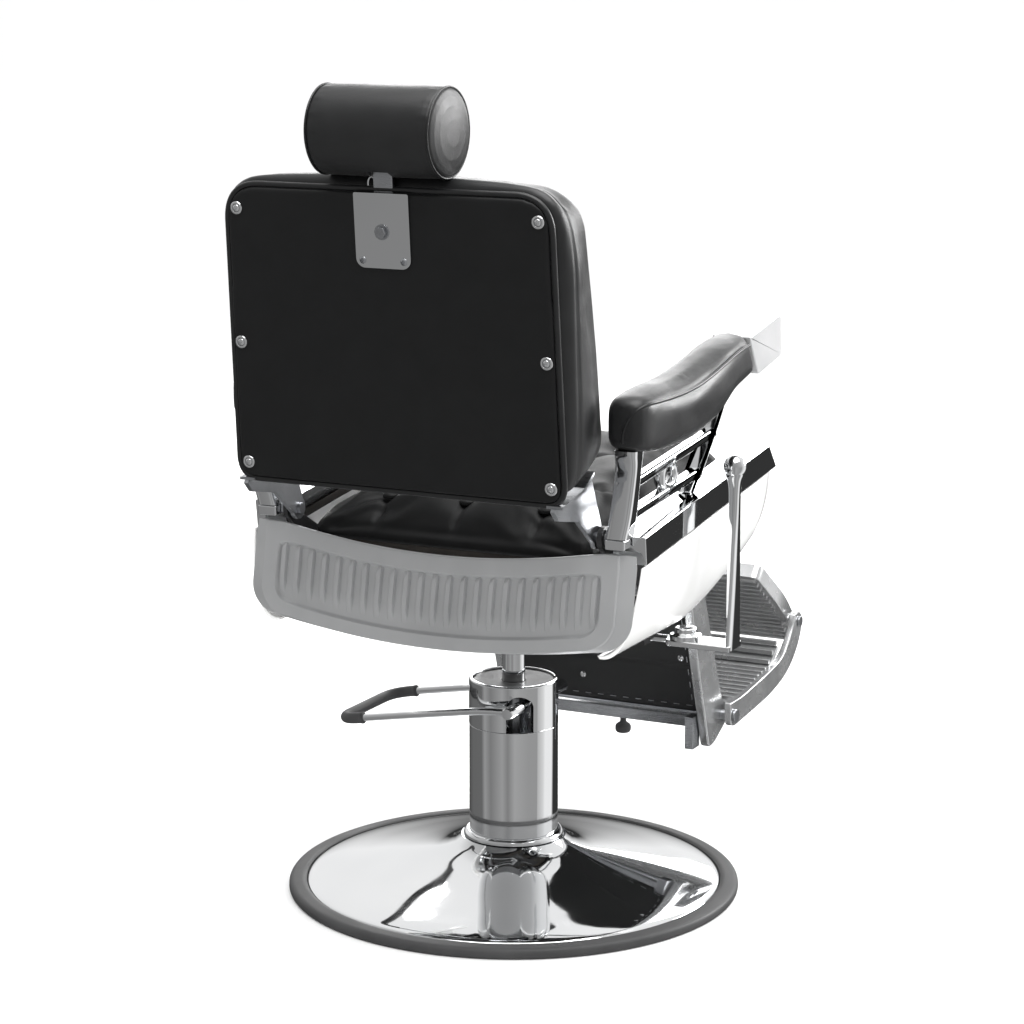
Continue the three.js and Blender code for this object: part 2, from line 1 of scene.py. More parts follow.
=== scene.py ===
import math
import bmesh
import bpy
import numpy as np
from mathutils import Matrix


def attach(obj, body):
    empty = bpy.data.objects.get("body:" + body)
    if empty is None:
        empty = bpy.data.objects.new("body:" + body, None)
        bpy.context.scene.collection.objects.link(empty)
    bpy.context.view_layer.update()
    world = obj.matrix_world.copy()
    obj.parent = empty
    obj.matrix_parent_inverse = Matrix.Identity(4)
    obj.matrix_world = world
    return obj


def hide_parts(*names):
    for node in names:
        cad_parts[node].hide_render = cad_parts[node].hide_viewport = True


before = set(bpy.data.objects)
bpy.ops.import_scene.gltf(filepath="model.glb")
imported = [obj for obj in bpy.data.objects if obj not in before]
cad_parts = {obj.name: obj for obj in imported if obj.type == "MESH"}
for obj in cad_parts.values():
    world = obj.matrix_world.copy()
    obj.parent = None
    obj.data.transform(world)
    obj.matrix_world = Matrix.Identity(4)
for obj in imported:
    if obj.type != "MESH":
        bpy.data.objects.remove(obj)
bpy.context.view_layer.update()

scene = bpy.context.scene
print("frame loaded,", len(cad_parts), "parts")

# all shapes below are worked out in millimetres and put into the meshes in metres
toMetres = 0.001
seatLean = {"centre": (251, 602), "degrees": 6.76}     # the seat rises towards the front
backLean = {"centre": (379, 861), "degrees": 4.82}     # the back leans away from the sitter
skirtLean = {"centre": (225, 600), "degrees": -11.3}


# a row of points set out evenly along its own length
def evenly(path, count):
    path = np.asarray(path, float)
    run = np.concatenate([[0], np.cumsum(np.linalg.norm(np.diff(path, axis=0), axis=1))])
    at = np.linspace(0, run[-1], count)
    return np.stack([np.interp(at, run, path[:, k]) for k in range(path.shape[1])], 1)


# smooth curve through points: between two points a cubic whose end slopes run between their neighbours
def curveThrough(points, count, closed=False):
    p = np.asarray(points, float)
    if closed:
        p = np.concatenate([p[-1:], p, p[:2]])
    else:
        p = np.concatenate([2 * p[:1] - p[1:2], p, 2 * p[-1:] - p[-2:-1]])
    spans = len(p) - 3
    t = np.linspace(0, spans, 40 * spans + 1)
    i = np.minimum(t.astype(int), spans - 1)
    t = (t - i)[:, None]
    a, b, c, d = p[i], p[i + 1], p[i + 2], p[i + 3]
    curve = 0.5 * (2 * b + (c - a) * t + (2 * a - 5 * b + 4 * c - d) * t ** 2
                   + (3 * b - a - 3 * c + d) * t ** 3)
    even = evenly(curve, count + 1 if closed else count)
    return even[:-1] if closed else even


# each corner of an outline becomes a quadratic curve between points that lie "radius" along its two sides
def rounded(corners, radius, steps=7, closed=True):
    p = np.asarray(corners, float)
    r = np.broadcast_to(np.asarray(radius, float), (len(p),))[:, None]
    before, after = np.roll(p, 1, 0) - p, np.roll(p, -1, 0) - p
    lengthBefore = np.linalg.norm(before, axis=1, keepdims=True)
    lengthAfter = np.linalg.norm(after, axis=1, keepdims=True)
    a = p + before / lengthBefore * np.minimum(r, lengthBefore * 0.48)
    b = p + after / lengthAfter * np.minimum(r, lengthAfter * 0.48)
    t = np.linspace(0, 1, steps)[None, :, None]
    curve = (1 - t) ** 2 * a[:, None] + 2 * t * (1 - t) * p[:, None] + t ** 2 * b[:, None]
    if closed:
        return curve.reshape(-1, p.shape[1])
    inner = curve[1:-1].reshape(-1, p.shape[1])
    return np.concatenate([p[:1], inner, p[-1:]])


# the signed area of a closed outline, positive when it runs anticlockwise
def areaOf(outline):
    nextOne = np.roll(outline, -1, 0)
    return 0.5 * np.sum(outline[:, 0] * nextOne[:, 1] - nextOne[:, 0] * outline[:, 1])


# every point of a closed outline moved inward along its own normal
def drawnIn(outline, distance):
    ahead = np.roll(outline, -1, 0) - outline
    behind = outline - np.roll(outline, 1, 0)
    ahead = ahead / np.maximum(np.linalg.norm(ahead, axis=1, keepdims=True), 1e-9)
    behind = behind / np.maximum(np.linalg.norm(behind, axis=1, keepdims=True), 1e-9)
    along = ahead + behind
    along = along / np.maximum(np.linalg.norm(along, axis=1, keepdims=True), 1e-9)
    inward = np.stack([-along[:, 1], along[:, 0]], 1) * np.sign(areaOf(outline))
    return outline + inward * distance


# four-sided faces joining neighbours on a grid of points, rows then columns
def gridFaces(rows, cols, wrapRows=False, wrapCols=True):
    r = np.arange(rows if wrapRows else rows - 1)[:, None]
    c = np.arange(cols if wrapCols else cols - 1)[None, :]
    r2, c2 = (r + 1) % rows, (c + 1) % cols
    return np.stack([r * cols + c, r * cols + c2, r2 * cols + c2, r2 * cols + c], -1).reshape(-1, 4)


# a shape is its points (rows, columns, 3), its four-sided faces, and its end faces
def tubeShape(grid, wrapRows=False, ends=True):
    rows, cols = grid.shape[:2]
    caps = [np.arange(cols), (rows - 1) * cols + np.arange(cols)] if ends and not wrapRows else []
    return [grid, gridFaces(rows, cols, wrapRows), caps]


# a closed or open profile of (radius, height) carried round the z axis
def turned(profile, around=144, closed=True):
    profile = np.asarray(profile, float)
    angle = np.arange(around) * 2 * math.pi / around
    r, z = profile[:, 0, None], profile[:, 1, None]
    grid = np.stack([r * np.cos(angle), r * np.sin(angle), z + 0 * angle], -1)
    return [grid, gridFaces(len(profile), around, closed), []]


# an outline carried through its thickness, drawn in near both faces along a quarter circle
def plate(outline, low, high, edge=1.0, steps=3):
    outline = np.asarray(outline, float)
    a = np.linspace(0, math.pi / 2, steps + 1)
    inset = edge * (1 - np.sin(a))
    height = edge * (1 - np.cos(a))
    insets = np.concatenate([inset, inset[::-1]])
    heights = np.concatenate([low + height, (high - height)[::-1]])
    rings = np.stack([drawnIn(outline, d) for d in insets])
    grid = np.concatenate([rings, np.broadcast_to(heights[:, None, None], rings.shape[:2] + (1,))], -1)
    return tubeShape(grid)


# a closed section of (sideways, upward) offsets carried along a path; radius may change along it
def swept(path, section, up=(0, 0, 1), closed=False, scale=1.0):
    path, section = np.asarray(path, float), np.asarray(section, float)
    along = np.roll(path, -1, 0) - np.roll(path, 1, 0)
    if not closed:
        along[0], along[-1] = path[1] - path[0], path[-1] - path[-2]
    along = along / np.linalg.norm(along, axis=1, keepdims=True)
    side = np.cross(along, np.broadcast_to(np.asarray(up, float), along.shape))
    side = side / np.linalg.norm(side, axis=1, keepdims=True)
    top = np.cross(side, along)
    scale = np.broadcast_to(np.asarray(scale, float), (len(path),))[:, None, None]
    offsets = section[None, :, :1] * side[:, None] + section[None, :, 1:] * top[:, None]
    grid = path[:, None] + scale * offsets
    return tubeShape(grid, wrapRows=closed)


def circle(radius, count=16, flatten=1.0):
    a = np.arange(count) * 2 * math.pi / count
    return np.stack([radius * np.cos(a), radius * flatten * np.sin(a)], 1)


# two surfaces of the same grid joined along their four borders
def shell(outer, inner):
    rows, cols = outer.shape[:2]
    count = rows * cols
    face = gridFaces(rows, cols, wrapCols=False)
    index = np.arange(count).reshape(rows, cols)
    border = np.concatenate([index[0, :-1], index[:-1, -1], index[-1, :0:-1], index[:0:-1, 0]])
    follow = np.roll(border, -1)
    rim = np.stack([border, follow, follow + count, border + count], 1)
    return [np.stack([outer, inner]), np.concatenate([face, face + count, rim]), []]


# a shape seen from another place: the rule takes its points and gives them back moved
def moved(shape, rule):
    return [rule(np.asarray(shape[0], float)), shape[1], shape[2]]


def mirrored(shape):
    return moved(shape, lambda p: p * np.array([-1, 1, 1]))


# turned about a line along x through (y, z), the top going towards +y
def leaned(points, centre, degrees):
    a = math.radians(degrees)
    y, z = points[..., 1] - centre[0], points[..., 2] - centre[1]
    return np.stack([points[..., 0], centre[0] + y * math.cos(a) + z * math.sin(a),
                     centre[1] - y * math.sin(a) + z * math.cos(a)], -1)


# plans drawn on (u, v) with thickness w, set up against x, y or z
def acrossX(points):
    return points[..., [2, 0, 1]]


def acrossY(points):
    return points[..., [0, 2, 1]]


def onSeat(points):
    return leaned(points, **seatLean)


def onBack(points):
    return leaned(points, **backLean)


def onSkirt(points):
    return leaned(points, **skirtLean)


# an outline carried through its thickness across x, or across y
def slabX(outline, low, high, edge=1.0, steps=3):
    return moved(plate(outline, low, high, edge, steps), acrossX)


def slabY(outline, low, high, edge=1.0, steps=3):
    return moved(plate(outline, low, high, edge, steps), acrossY)


def shifted(shape, x=0.0, y=0.0, z=0.0):
    return moved(shape, lambda p: p + np.array([x, y, z]))


def makeMesh(name, shapes):
    points, faces, start = [], [], 0
    for grid, quads, caps in shapes:
        flat = np.asarray(grid, float).reshape(-1, 3)
        points.append(flat)
        faces += (np.asarray(quads) + start).tolist() + [(cap + start).tolist() for cap in caps]
        start += len(flat)
    mesh = bpy.data.meshes.new(name)
    mesh.from_pydata((np.concatenate(points) * toMetres).tolist(), [], faces)
    work = bmesh.new()
    work.from_mesh(mesh)
    bmesh.ops.remove_doubles(work, verts=work.verts, dist=2e-6)
    bmesh.ops.recalc_face_normals(work, faces=work.faces)
    work.to_mesh(mesh)
    work.free()
    return mesh


def makePiece(name, shapes, finish, body, stands=(), sharp=42, flats=True):
    mesh = makeMesh(name, shapes)
    piece = bpy.data.objects.new(name, mesh)
    scene.collection.objects.link(piece)
    mesh.shade_smooth()
    if sharp:
        mesh.set_sharp_from_angle(angle=math.radians(sharp))
    if flats:
        evenOut = piece.modifiers.new("evenNormals", "WEIGHTED_NORMAL")
        evenOut.keep_sharp = True
        evenOut.weight = 100
    material, slotName = finish
    mesh.materials.append(material)
    if body:
        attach(piece, body)
    if stands:
        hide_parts(*stands)
    return piece


# the same shapes as a left piece and, mirrored, as a right one
def makePair(name, shapes, finish, body, node, **more):
    left = makePiece(name + "_left", shapes, finish, body, [node + "_left"], **more)
    right = makePiece(name + "_right", [mirrored(shape) for shape in shapes], finish, body, [node + "_right"],
                      **more)
    return left, right


# the evaluated mesh becomes the piece's own mesh
def settle(piece):
    graph = bpy.context.evaluated_depsgraph_get()
    finished = bpy.data.meshes.new_from_object(piece.evaluated_get(graph), depsgraph=graph)
    piece.modifiers.clear()
    piece.data = finished


# a boolean cut by shapes that aren't kept
def cutAway(piece, shapes):
    tool = bpy.data.objects.new("tool", makeMesh("tool", shapes))
    scene.collection.objects.link(tool)
    cut = piece.modifiers.new("cut", "BOOLEAN")
    cut.object = tool
    cut.operation = "DIFFERENCE"
    cut.solver = "EXACT"
    bpy.context.view_layer.update()
    keepNormals = [m for m in piece.modifiers if m.type == "WEIGHTED_NORMAL"]
    for m in keepNormals:
        piece.modifiers.remove(m)
    settle(piece)
    bpy.data.objects.remove(tool)
    piece.data.shade_smooth()
    piece.data.set_sharp_from_angle(angle=math.radians(35))
    evenOut = piece.modifiers.new("evenNormals", "WEIGHTED_NORMAL")
    evenOut.keep_sharp = True
    evenOut.weight = 100


def pointsOf(piece):
    mesh = piece.data
    found = np.empty(len(mesh.vertices) * 3)
    mesh.vertices.foreach_get("co", found)
    return found.reshape(-1, 3) / toMetres


def setPoints(piece, points):
    piece.data.vertices.foreach_set("co", (points * toMetres).ravel())
    piece.data.update()


def smoothStep(x, low, high):
    t = np.clip((x - low) / (high - low), 0, 1)
    return t * t * (3 - 2 * t)


# remeshed evenly, then every point moved by a rule
def evened(piece, voxel, rule=None):
    evenMesh = piece.modifiers.new("evenMesh", "REMESH")
    evenMesh.mode = "VOXEL"
    evenMesh.voxel_size = voxel * toMetres
    for m in [m for m in piece.modifiers if m.type == "WEIGHTED_NORMAL"]:
        piece.modifiers.remove(m)
    bpy.context.view_layer.update()
    settle(piece)
    if rule:
        setPoints(piece, rule(pointsOf(piece)))


# the remesh's steps eased away, then one subdivision
def finished(piece, ease):
    easeOut = piece.modifiers.new("easeOut", "SMOOTH")
    easeOut.factor = 0.5
    easeOut.iterations = ease
    finer = piece.modifiers.new("finer", "SUBSURF")
    finer.levels = finer.render_levels = 1
    bpy.context.view_layer.update()
    settle(piece)
    piece.data.shade_smooth()


def formed(piece, voxel, rule, ease):
    evened(piece, voxel, rule)
    finished(piece, ease)


# blown up like a cushion: cloth with air inside for a few frames, each move capped and faded out towards
# the seams by "free"
def puffed(piece, settings, free, rule=None):
    evened(piece, settings["voxel"], rule)
    rest = pointsOf(piece)
    held = piece.vertex_groups.new(name="held")
    freedom = free(rest)
    held.add(np.flatnonzero(freedom < 0.05).tolist(), 1.0, "REPLACE")
    cloth = piece.modifiers.new("air", "CLOTH")
    cloth.settings.use_pressure = True
    cloth.settings.uniform_pressure_force = settings["pressure"]
    cloth.settings.effector_weights.gravity = 0
    cloth.settings.vertex_group_mass = "held"
    cloth.settings.quality = 5
    cloth.settings.mass = 0.3
    cloth.settings.tension_stiffness = settings["tension"]
    cloth.settings.compression_stiffness = settings["tension"]
    for step in range(1, settings["frames"] + 1):
        scene.frame_set(step)
    graph = bpy.context.evaluated_depsgraph_get()
    blown = piece.evaluated_get(graph).data
    after = np.empty(len(blown.vertices) * 3)
    blown.vertices.foreach_get("co", after)
    move = after.reshape(-1, 3) / toMetres - rest
    size = np.linalg.norm(move, axis=1, keepdims=True)
    move = move * np.minimum(1, settings["cap"] / np.maximum(size, 1e-6)) * freedom[:, None]
    piece.modifiers.clear()
    scene.frame_set(1)
    setPoints(piece, rest + move)
    piece.vertex_groups.clear()
    finished(piece, settings["ease"])


def newFinish(name, slotName, colour, metallic, roughness, **sockets):
    material = bpy.data.materials.new(name)
    material.use_nodes = True
    shader = material.node_tree.nodes["Principled BSDF"]
    shader.inputs["Base Color"].default_value = (*colour, 1)
    shader.inputs["Metallic"].default_value = metallic
    shader.inputs["Roughness"].default_value = roughness
    for key, value in sockets.items():
        shader.inputs[key.replace("_", " ")].default_value = value
    return material, slotName


def addNode(material, kind, inputs=None, **settings):
    tree = material.node_tree
    made = tree.nodes.new(kind)
    for key, value in settings.items():
        setattr(made, key, value)
    for key, value in (inputs or {}).items():
        if isinstance(value, bpy.types.NodeSocket):
            tree.links.new(value, made.inputs[key])
        else:
            made.inputs[key].default_value = value
    return made


def addRamp(material, factor, stops):
    ramp = addNode(material, "ShaderNodeValToRGB", {"Fac": factor})
    elements = ramp.color_ramp.elements
    while len(elements) < len(stops):
        elements.new(0.5)
    for element, (position, value) in zip(elements, stops):
        element.position = position
        element.color = (*value, 1) if isinstance(value, tuple) else (value, value, value, 1)
    return ramp.outputs["Color"]


def objectCoords(material, scale=(1, 1, 1)):
    coords = addNode(material, "ShaderNodeTexCoord").outputs["Object"]
    return addNode(material, "ShaderNodeMapping", {"Vector": coords, "Scale": scale}).outputs["Vector"]


def addNoise(material, coords, scale, detail=3.0, roughness=0.55):
    return addNode(material, "ShaderNodeTexNoise", {"Vector": coords, "Scale": scale, "Detail": detail,
                                                    "Roughness": roughness}).outputs["Fac"]


def addBump(material, height, distance, strength=1.0, under=None):
    inputs = {"Height": height, "Distance": distance, "Strength": strength}
    if under is not None:
        inputs["Normal"] = under
    return addNode(material, "ShaderNodeBump", inputs).outputs["Normal"]


def feed(material, **sockets):
    shader = material.node_tree.nodes["Principled BSDF"]
    for key, value in sockets.items():
        material.node_tree.links.new(value, shader.inputs[key.replace("_", " ")])


# mirror chrome: faint handling smears in the gloss and a slow ripple in the plating
def chromeFinish():
    material, slotName = newFinish("mirrorChrome", "chrome", (0.84, 0.85, 0.86), 1.0, 0.05)
    coords = objectCoords(material)
    smear = addNoise(material, coords, 14, 5, 0.62)
    tint = addNoise(material, coords, 3.5, 2)
    ripple = addNoise(material, coords, 7, 1)
    feed(material, Roughness=addRamp(material, smear, [(0.35, 0.025), (0.75, 0.085)]),
         Base_Color=addRamp(material, tint, [(0.3, (0.79, 0.80, 0.81)), (0.7, (0.88, 0.885, 0.89))]),
         Normal=addBump(material, ripple, 0.0012, 0.35))
    return material, slotName


# plain steel with the fine lines of a brushing wheel
def steelFinish(name="brushedSteel", slotName="steel", colour=(0.5, 0.51, 0.53), along=(1, 60, 60)):
    material, slotName = newFinish(name, slotName, colour, 1.0, 0.3)
    lines = addNoise(material, objectCoords(material, along), 30, 4, 0.7)
    cloud = addNoise(material, objectCoords(material), 18, 3)
    light, dark = tuple(c * 1.12 for c in colour), tuple(c * 0.8 for c in colour)
    feed(material, Roughness=addRamp(material, lines, [(0.3, 0.2), (0.7, 0.4)]),
         Base_Color=addRamp(material, cloud, [(0.3, dark), (0.7, light)]),
         Normal=addBump(material, lines, 0.0002, 0.4))
    return material, slotName


# polished casting: bright, with the low pits and waves that buffing leaves
def alloyFinish():
    material, slotName = newFinish("polishedCasting", "alloy", (0.6, 0.61, 0.62), 0.85, 0.26)
    coords = objectCoords(material)
    wave = addNoise(material, coords, 11, 2)
    pits = addNoise(material, coords, 420, 2)
    smear = addNoise(material, coords, 22, 2)
    under = addBump(material, wave, 0.001, 0.3)
    feed(material, Roughness=addRamp(material, smear, [(0.3, 0.22), (0.75, 0.3)]),
         Base_Color=addRamp(material, wave, [(0.3, (0.56, 0.565, 0.57)), (0.7, (0.62, 0.625, 0.63))]),
         Normal=addBump(material, pits, 0.0001, 0.25, under))
    return material, slotName


# rubber: fine moulded grain, a little bloom of dust
def rubberFinish():
    material, slotName = newFinish("mattRubber", "rubber", (0.045, 0.045, 0.046), 0.0, 0.6)
    coords = objectCoords(material)
    grain = addNoise(material, coords, 900, 2)
    bloom = addNoise(material, coords, 12, 4)
    feed(material, Roughness=addRamp(material, bloom, [(0.3, 0.48), (0.75, 0.68)]),
         Base_Color=addRamp(material, bloom, [(0.3, (0.034, 0.034, 0.035)), (0.8, (0.06, 0.06, 0.061))]),
         Normal=addBump(material, grain, 0.0002, 0.4))
    return material, slotName


# upholstery vinyl: pebble grain of small cells, slow creases, sheen where it is stretched
def vinylFinish(name="blackVinyl", colour=(0.0068, 0.007, 0.0074), gloss=0.38, crease=0.0012, shine=0.5):
    material, slotName = newFinish(name, "vinyl", colour, 0.0, gloss, Sheen_Weight=0.04,
                                   Sheen_Roughness=0.4, Specular_IOR_Level=shine)
    coords = objectCoords(material)
    cells = addNode(material, "ShaderNodeTexVoronoi", {"Vector": coords, "Scale": 640.0},
                    feature="DISTANCE_TO_EDGE").outputs["Distance"]
    pebble = addRamp(material, cells, [(0.0, 0.0), (0.16, 1.0)])
    folds = addNoise(material, coords, 9, 3, 0.45)
    patch = addNoise(material, coords, 26, 4)
    dull = tuple(c * 1.35 for c in colour)
    under = addBump(material, folds, crease, 0.6)
    feed(material, Roughness=addRamp(material, patch, [(0.3, gloss - 0.05), (0.75, gloss + 0.08)]),
         Base_Color=addRamp(material, patch, [(0.3, colour), (0.8, dull)]),
         Normal=addBump(material, pebble, 0.00012, 0.35, under))
    return material, slotName


# satin silver paint: fine metallic flake under a thin clear coat
def silverFinish():
    material, slotName = newFinish("silverPaint", "silver", (0.42, 0.43, 0.44), 0.55, 0.36,
                                   Coat_Weight=0.15, Coat_Roughness=0.25)
    coords = objectCoords(material)
    flake = addNoise(material, coords, 1400, 1)
    cloud = addNoise(material, coords, 8, 3)
    feed(material, Roughness=addRamp(material, flake, [(0.3, 0.3), (0.7, 0.42)]),
         Base_Color=addRamp(material, cloud, [(0.3, (0.40, 0.405, 0.41)), (0.7, (0.46, 0.465, 0.47))]),
         Normal=addBump(material, flake, 0.00008, 0.3))
    return material, slotName


# gloss white enamel with a trace of orange peel
def enamelFinish():
    material, slotName = newFinish("whiteEnamel", "white", (0.84, 0.84, 0.83), 0.0, 0.14,
                                   Coat_Weight=0.6, Coat_Roughness=0.06)
    coords = objectCoords(material)
    peel = addNoise(material, coords, 160, 1)
    cloud = addNoise(material, coords, 5, 2)
    feed(material, Roughness=addRamp(material, cloud, [(0.3, 0.1), (0.7, 0.2)]),
         Base_Color=addRamp(material, cloud, [(0.3, (0.81, 0.81, 0.80)), (0.7, (0.86, 0.86, 0.855))]),
         Normal=addBump(material, peel, 0.00012, 0.3))
    return material, slotName


# satin black paint over steel
def blackFinish():
    material, slotName = newFinish("blackPaint", "black", (0.014, 0.014, 0.015), 0.0, 0.38)
    coords = objectCoords(material)
    peel = addNoise(material, coords, 220, 2)
    cloud = addNoise(material, coords, 20, 4)
    feed(material, Roughness=addRamp(material, cloud, [(0.3, 0.3), (0.75, 0.48)]),
         Base_Color=addRamp(material, cloud, [(0.3, (0.011, 0.011, 0.012)), (0.8, (0.022, 0.022, 0.023))]),
         Normal=addBump(material, peel, 0.00015, 0.3))
    return material, slotName


# plywood: wavy growth lines stretched along the board
def plywoodFinish():
    material, slotName = newFinish("plywood", "board", (0.05, 0.045, 0.04), 0.0, 0.65)
    coords = objectCoords(material, (1, 9, 9))
    grain = addNoise(material, coords, 14, 5, 0.65)
    feed(material, Roughness=addRamp(material, grain, [(0.3, 0.55), (0.7, 0.75)]),
         Base_Color=addRamp(material, grain, [(0.3, (0.03, 0.026, 0.022)), (0.7, (0.06, 0.052, 0.045))]),
         Normal=addBump(material, grain, 0.0004, 0.4))
    return material, slotName


# satin plating: bright, with a soft gloss
def satinFinish():
    material, slotName = newFinish("satinPlate", "chrome", (0.55, 0.55, 0.56), 0.3, 0.32)
    coords = objectCoords(material)
    cloud = addNoise(material, coords, 9, 3)
    grain = addNoise(material, coords, 500, 2)
    feed(material, Roughness=addRamp(material, cloud, [(0.3, 0.26), (0.75, 0.36)]),
         Base_Color=addRamp(material, cloud, [(0.3, (0.52, 0.525, 0.53)), (0.7, (0.57, 0.57, 0.575))]),
         Normal=addBump(material, grain, 0.00008, 0.25))
    return material, slotName


chrome = chromeFinish()
satin = satinFinish()
steel = steelFinish()
alloy = alloyFinish()
rubber = rubberFinish()
vinyl = vinylFinish()
seatVinyl = vinylFinish("seatVinyl", (0.0065, 0.0067, 0.007), 0.5, 0.0012, 0.2)
# the back panel's vinyl is a darker copy of the same black vinyl: its lower colour is painted shade on the panel's
# face
shadedPanelVinyl = vinylFinish("shadedPanelVinyl", (0.0035, 0.0037, 0.004), 0.46, 0.0008, 0.35)
welting = vinylFinish("weltVinyl", (0.006, 0.0062, 0.0066), 0.33, 0.0003)
silver = silverFinish()
enamel = enamelFinish()
black = blackFinish()
plywood = plywoodFinish()
slotFinish = {"chrome": chrome, "steel": steel, "alloy": alloy, "rubber": rubber, "vinyl": vinyl,
              "silver": silver, "white": enamel, "black": black, "board": plywood}
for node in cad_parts.values():
    for place in node.material_slots:
        place.material = slotFinish.get(place.material.name.split(".")[0], steel)[0]
print("finishes made")


base = {
    "rim": [(313.2, 0), (337, 0), (340, 3), (340, 11), (336, 15.5), (318.6, 17), (313.2, 15)],
    "rimRounding": (0.4, 2, 3, 4, 5, 3, 1),
    "dome": [(312.6, 6.5), (312.6, 12.5), (309, 15.6), (300, 18.2), (280, 22.2), (235, 30), (170, 42),
             (130, 51), (108, 58.5), (93, 66.5), (84, 74), (79, 79.2)],
    "domeUnder": [(60, 80), (60, 76), (75, 76), (90, 62), (118, 50), (235, 26.5), (309.6, 10),
                  (309.6, 6.5)],
    "cover": [(63.5, 80.4), (66.8, 80.4), (66.8, 252.1), (63.5, 252.1)],
    "trim": [(67.3, 80.4), (76, 80.4), (75.4, 84.5), (71.5, 88.6), (67.3, 89)],
    "collar": [(61, 252.5), (67.2, 252.5), (67.2, 323), (61, 323)],
    "dish": [(18, 305), (60.6, 305), (60.6, 319.5), (56, 320), (38, 318.5), (18, 318)],
    "archHalf": 17, "archCentre": (-36, 291), "around": 192,
}


def buildBase(s):
    around = s["around"]
    makePiece("rimRubber", [turned(rounded(s["rim"], s["rimRounding"]), around)], rubber, "base",
              ["rubber_rim"], flats=False)
    skin = curveThrough(s["dome"], 90)
    makePiece("domeSkin", [turned(np.concatenate([skin, s["domeUnder"]]), around)], chrome, "base",
              ["base_dome"], flats=False)
    makePiece("columnSleeve", [turned(rounded(s["cover"], (0.3, 0.3, 0.9, 0.3)), around)], chrome, "base",
              ["column_cover"], flats=False)
    makePiece("trimBead", [turned(rounded(s["trim"], (0.4, 1, 2.5, 2.5, 0.4)), around)], chrome, "base",
              ["trim_ring"], flats=False)
    collar = makePiece("collarSleeve", [turned(rounded(s["collar"], (0.3, 1, 4.6, 1.5), 9), around)], chrome,
                       "base", ["collar"])
    half, (x, z) = s["archHalf"], s["archCentre"]
    a = np.linspace(0, math.pi, 25)
    arch = np.concatenate([np.stack([x + half * np.cos(a), z + half * np.sin(a)], 1),
                           [(x - half, 240), (x + half, 240)]])
    cutAway(collar, [slabY(arch, -90, 90, 0.2, 1)])
    makePiece("collarDish", [turned(rounded(s["dish"], (0.4, 0.4, 1.2, 4, 5, 1.5)), 120)], black, "base",
              ["collar_dish"], flats=False)


lever = {
    "axle": (-36, 292), "spread": 88, "reach": 252, "bend": 36, "fall": 0.175, "sag": 2, "bar": 5.5,
    "grip": 9, "gripFrom": 0.335, "gripTo": 0.665,
    "hub": [(0, 52), (7.6, 52), (9, 53.4), (9, 95), (7.4, 96.8), (4, 97), (0, 97)],
}


def buildLever(s):
    x, z = s["axle"]
    flat = rounded([(x, s["spread"]), (s["reach"], s["spread"]), (s["reach"], -s["spread"]),
                    (x, -s["spread"])], s["bend"], 24, closed=False)
    flat = evenly(flat, 260)
    drop = z - s["fall"] * 0.5 * (flat[:, 0] - 10 + np.hypot(flat[:, 0] - 10, 14))
    drop -= s["sag"] * np.clip((flat[:, 0] - x) / 46, 0, 1)
    path = np.column_stack([flat, drop])
    hub = moved(turned(s["hub"], 40, closed=False), lambda p: p[..., [0, 2, 1]] + np.array([x, 0, z]))
    shaft = swept([(x, -54, z), (x, 54, z)], circle(6, 32))
    farHub = moved(hub, lambda p: p * np.array([1, -1, 1]))
    makePiece("pumpYoke", [swept(path, circle(s["bar"], 20)), hub, farHub, shaft], chrome, "pump",
              ["pump_lever"], flats=False)
    first, last = int(260 * s["gripFrom"]), int(260 * s["gripTo"])
    sleeve = evenly(path[first:last], 160)
    t = np.linspace(0, 1, 160)
    swell = 1 + 0.1 * np.exp(-((t - 0.012) / 0.012) ** 2) + 0.1 * np.exp(-((t - 0.988) / 0.012) ** 2)
    swell = swell * np.sqrt(np.clip(np.minimum(t, 1 - t) / 0.006, 0.55, 1))
    makePiece("gripSleeve", [swept(sleeve, circle(s["grip"] * 0.93, 28), scale=swell)], rubber, "pump",
              ["lever_grip"], sharp=60, flats=False)


def buildRam():
    plateR, rodR = 62, 17.5
    profile = rounded([(0, 122), (rodR, 122), (rodR, 430), (plateR, 430), (plateR, 439.6), (0, 439.6)],
                      (0.1, 0.5, 1.5, 1, 1, 0.1))
    makePiece("ramRod", [turned(profile, 96, closed=False)], chrome, "ram", ["ram"])


buildBase(base)
buildLever(lever)
buildRam()
print("base, column and pump made")


rail = {"outline": [(223, 602), (-243, 602), (-269, 562), (223, 562)], "across": (260, 310),
        "pocket": [(219, 597), (-239, 597), (-262, 556), (219, 556)], "wall": 4}


def buildRails(s):
    low, high = s["across"]
    body = moved(slabX(rounded(s["outline"], 1.6, 4), low, high, 1.2), onSeat)
    hollow = slabX(rounded(s["pocket"], 1, 3), low + s["wall"], high - s["wall"], 0.4, 1)
    hollow = moved(hollow, onSeat)
    left, right = makePair("railCasing", [body], chrome, "seat", "seat_rail")
    cutAway(left, [hollow])
    cutAway(right, [mirrored(hollow)])


sidePanel = {"rear": 221, "front": -258, "drop": 42, "inner": 256, "bulge": 54, "wall": 4, "turnIn": 5,
             "lip": 1.2, "rows": 72, "cols": 26}


def railTop(y):
    return 602 + (251 - y) * math.tan(math.radians(seatLean["degrees"]))


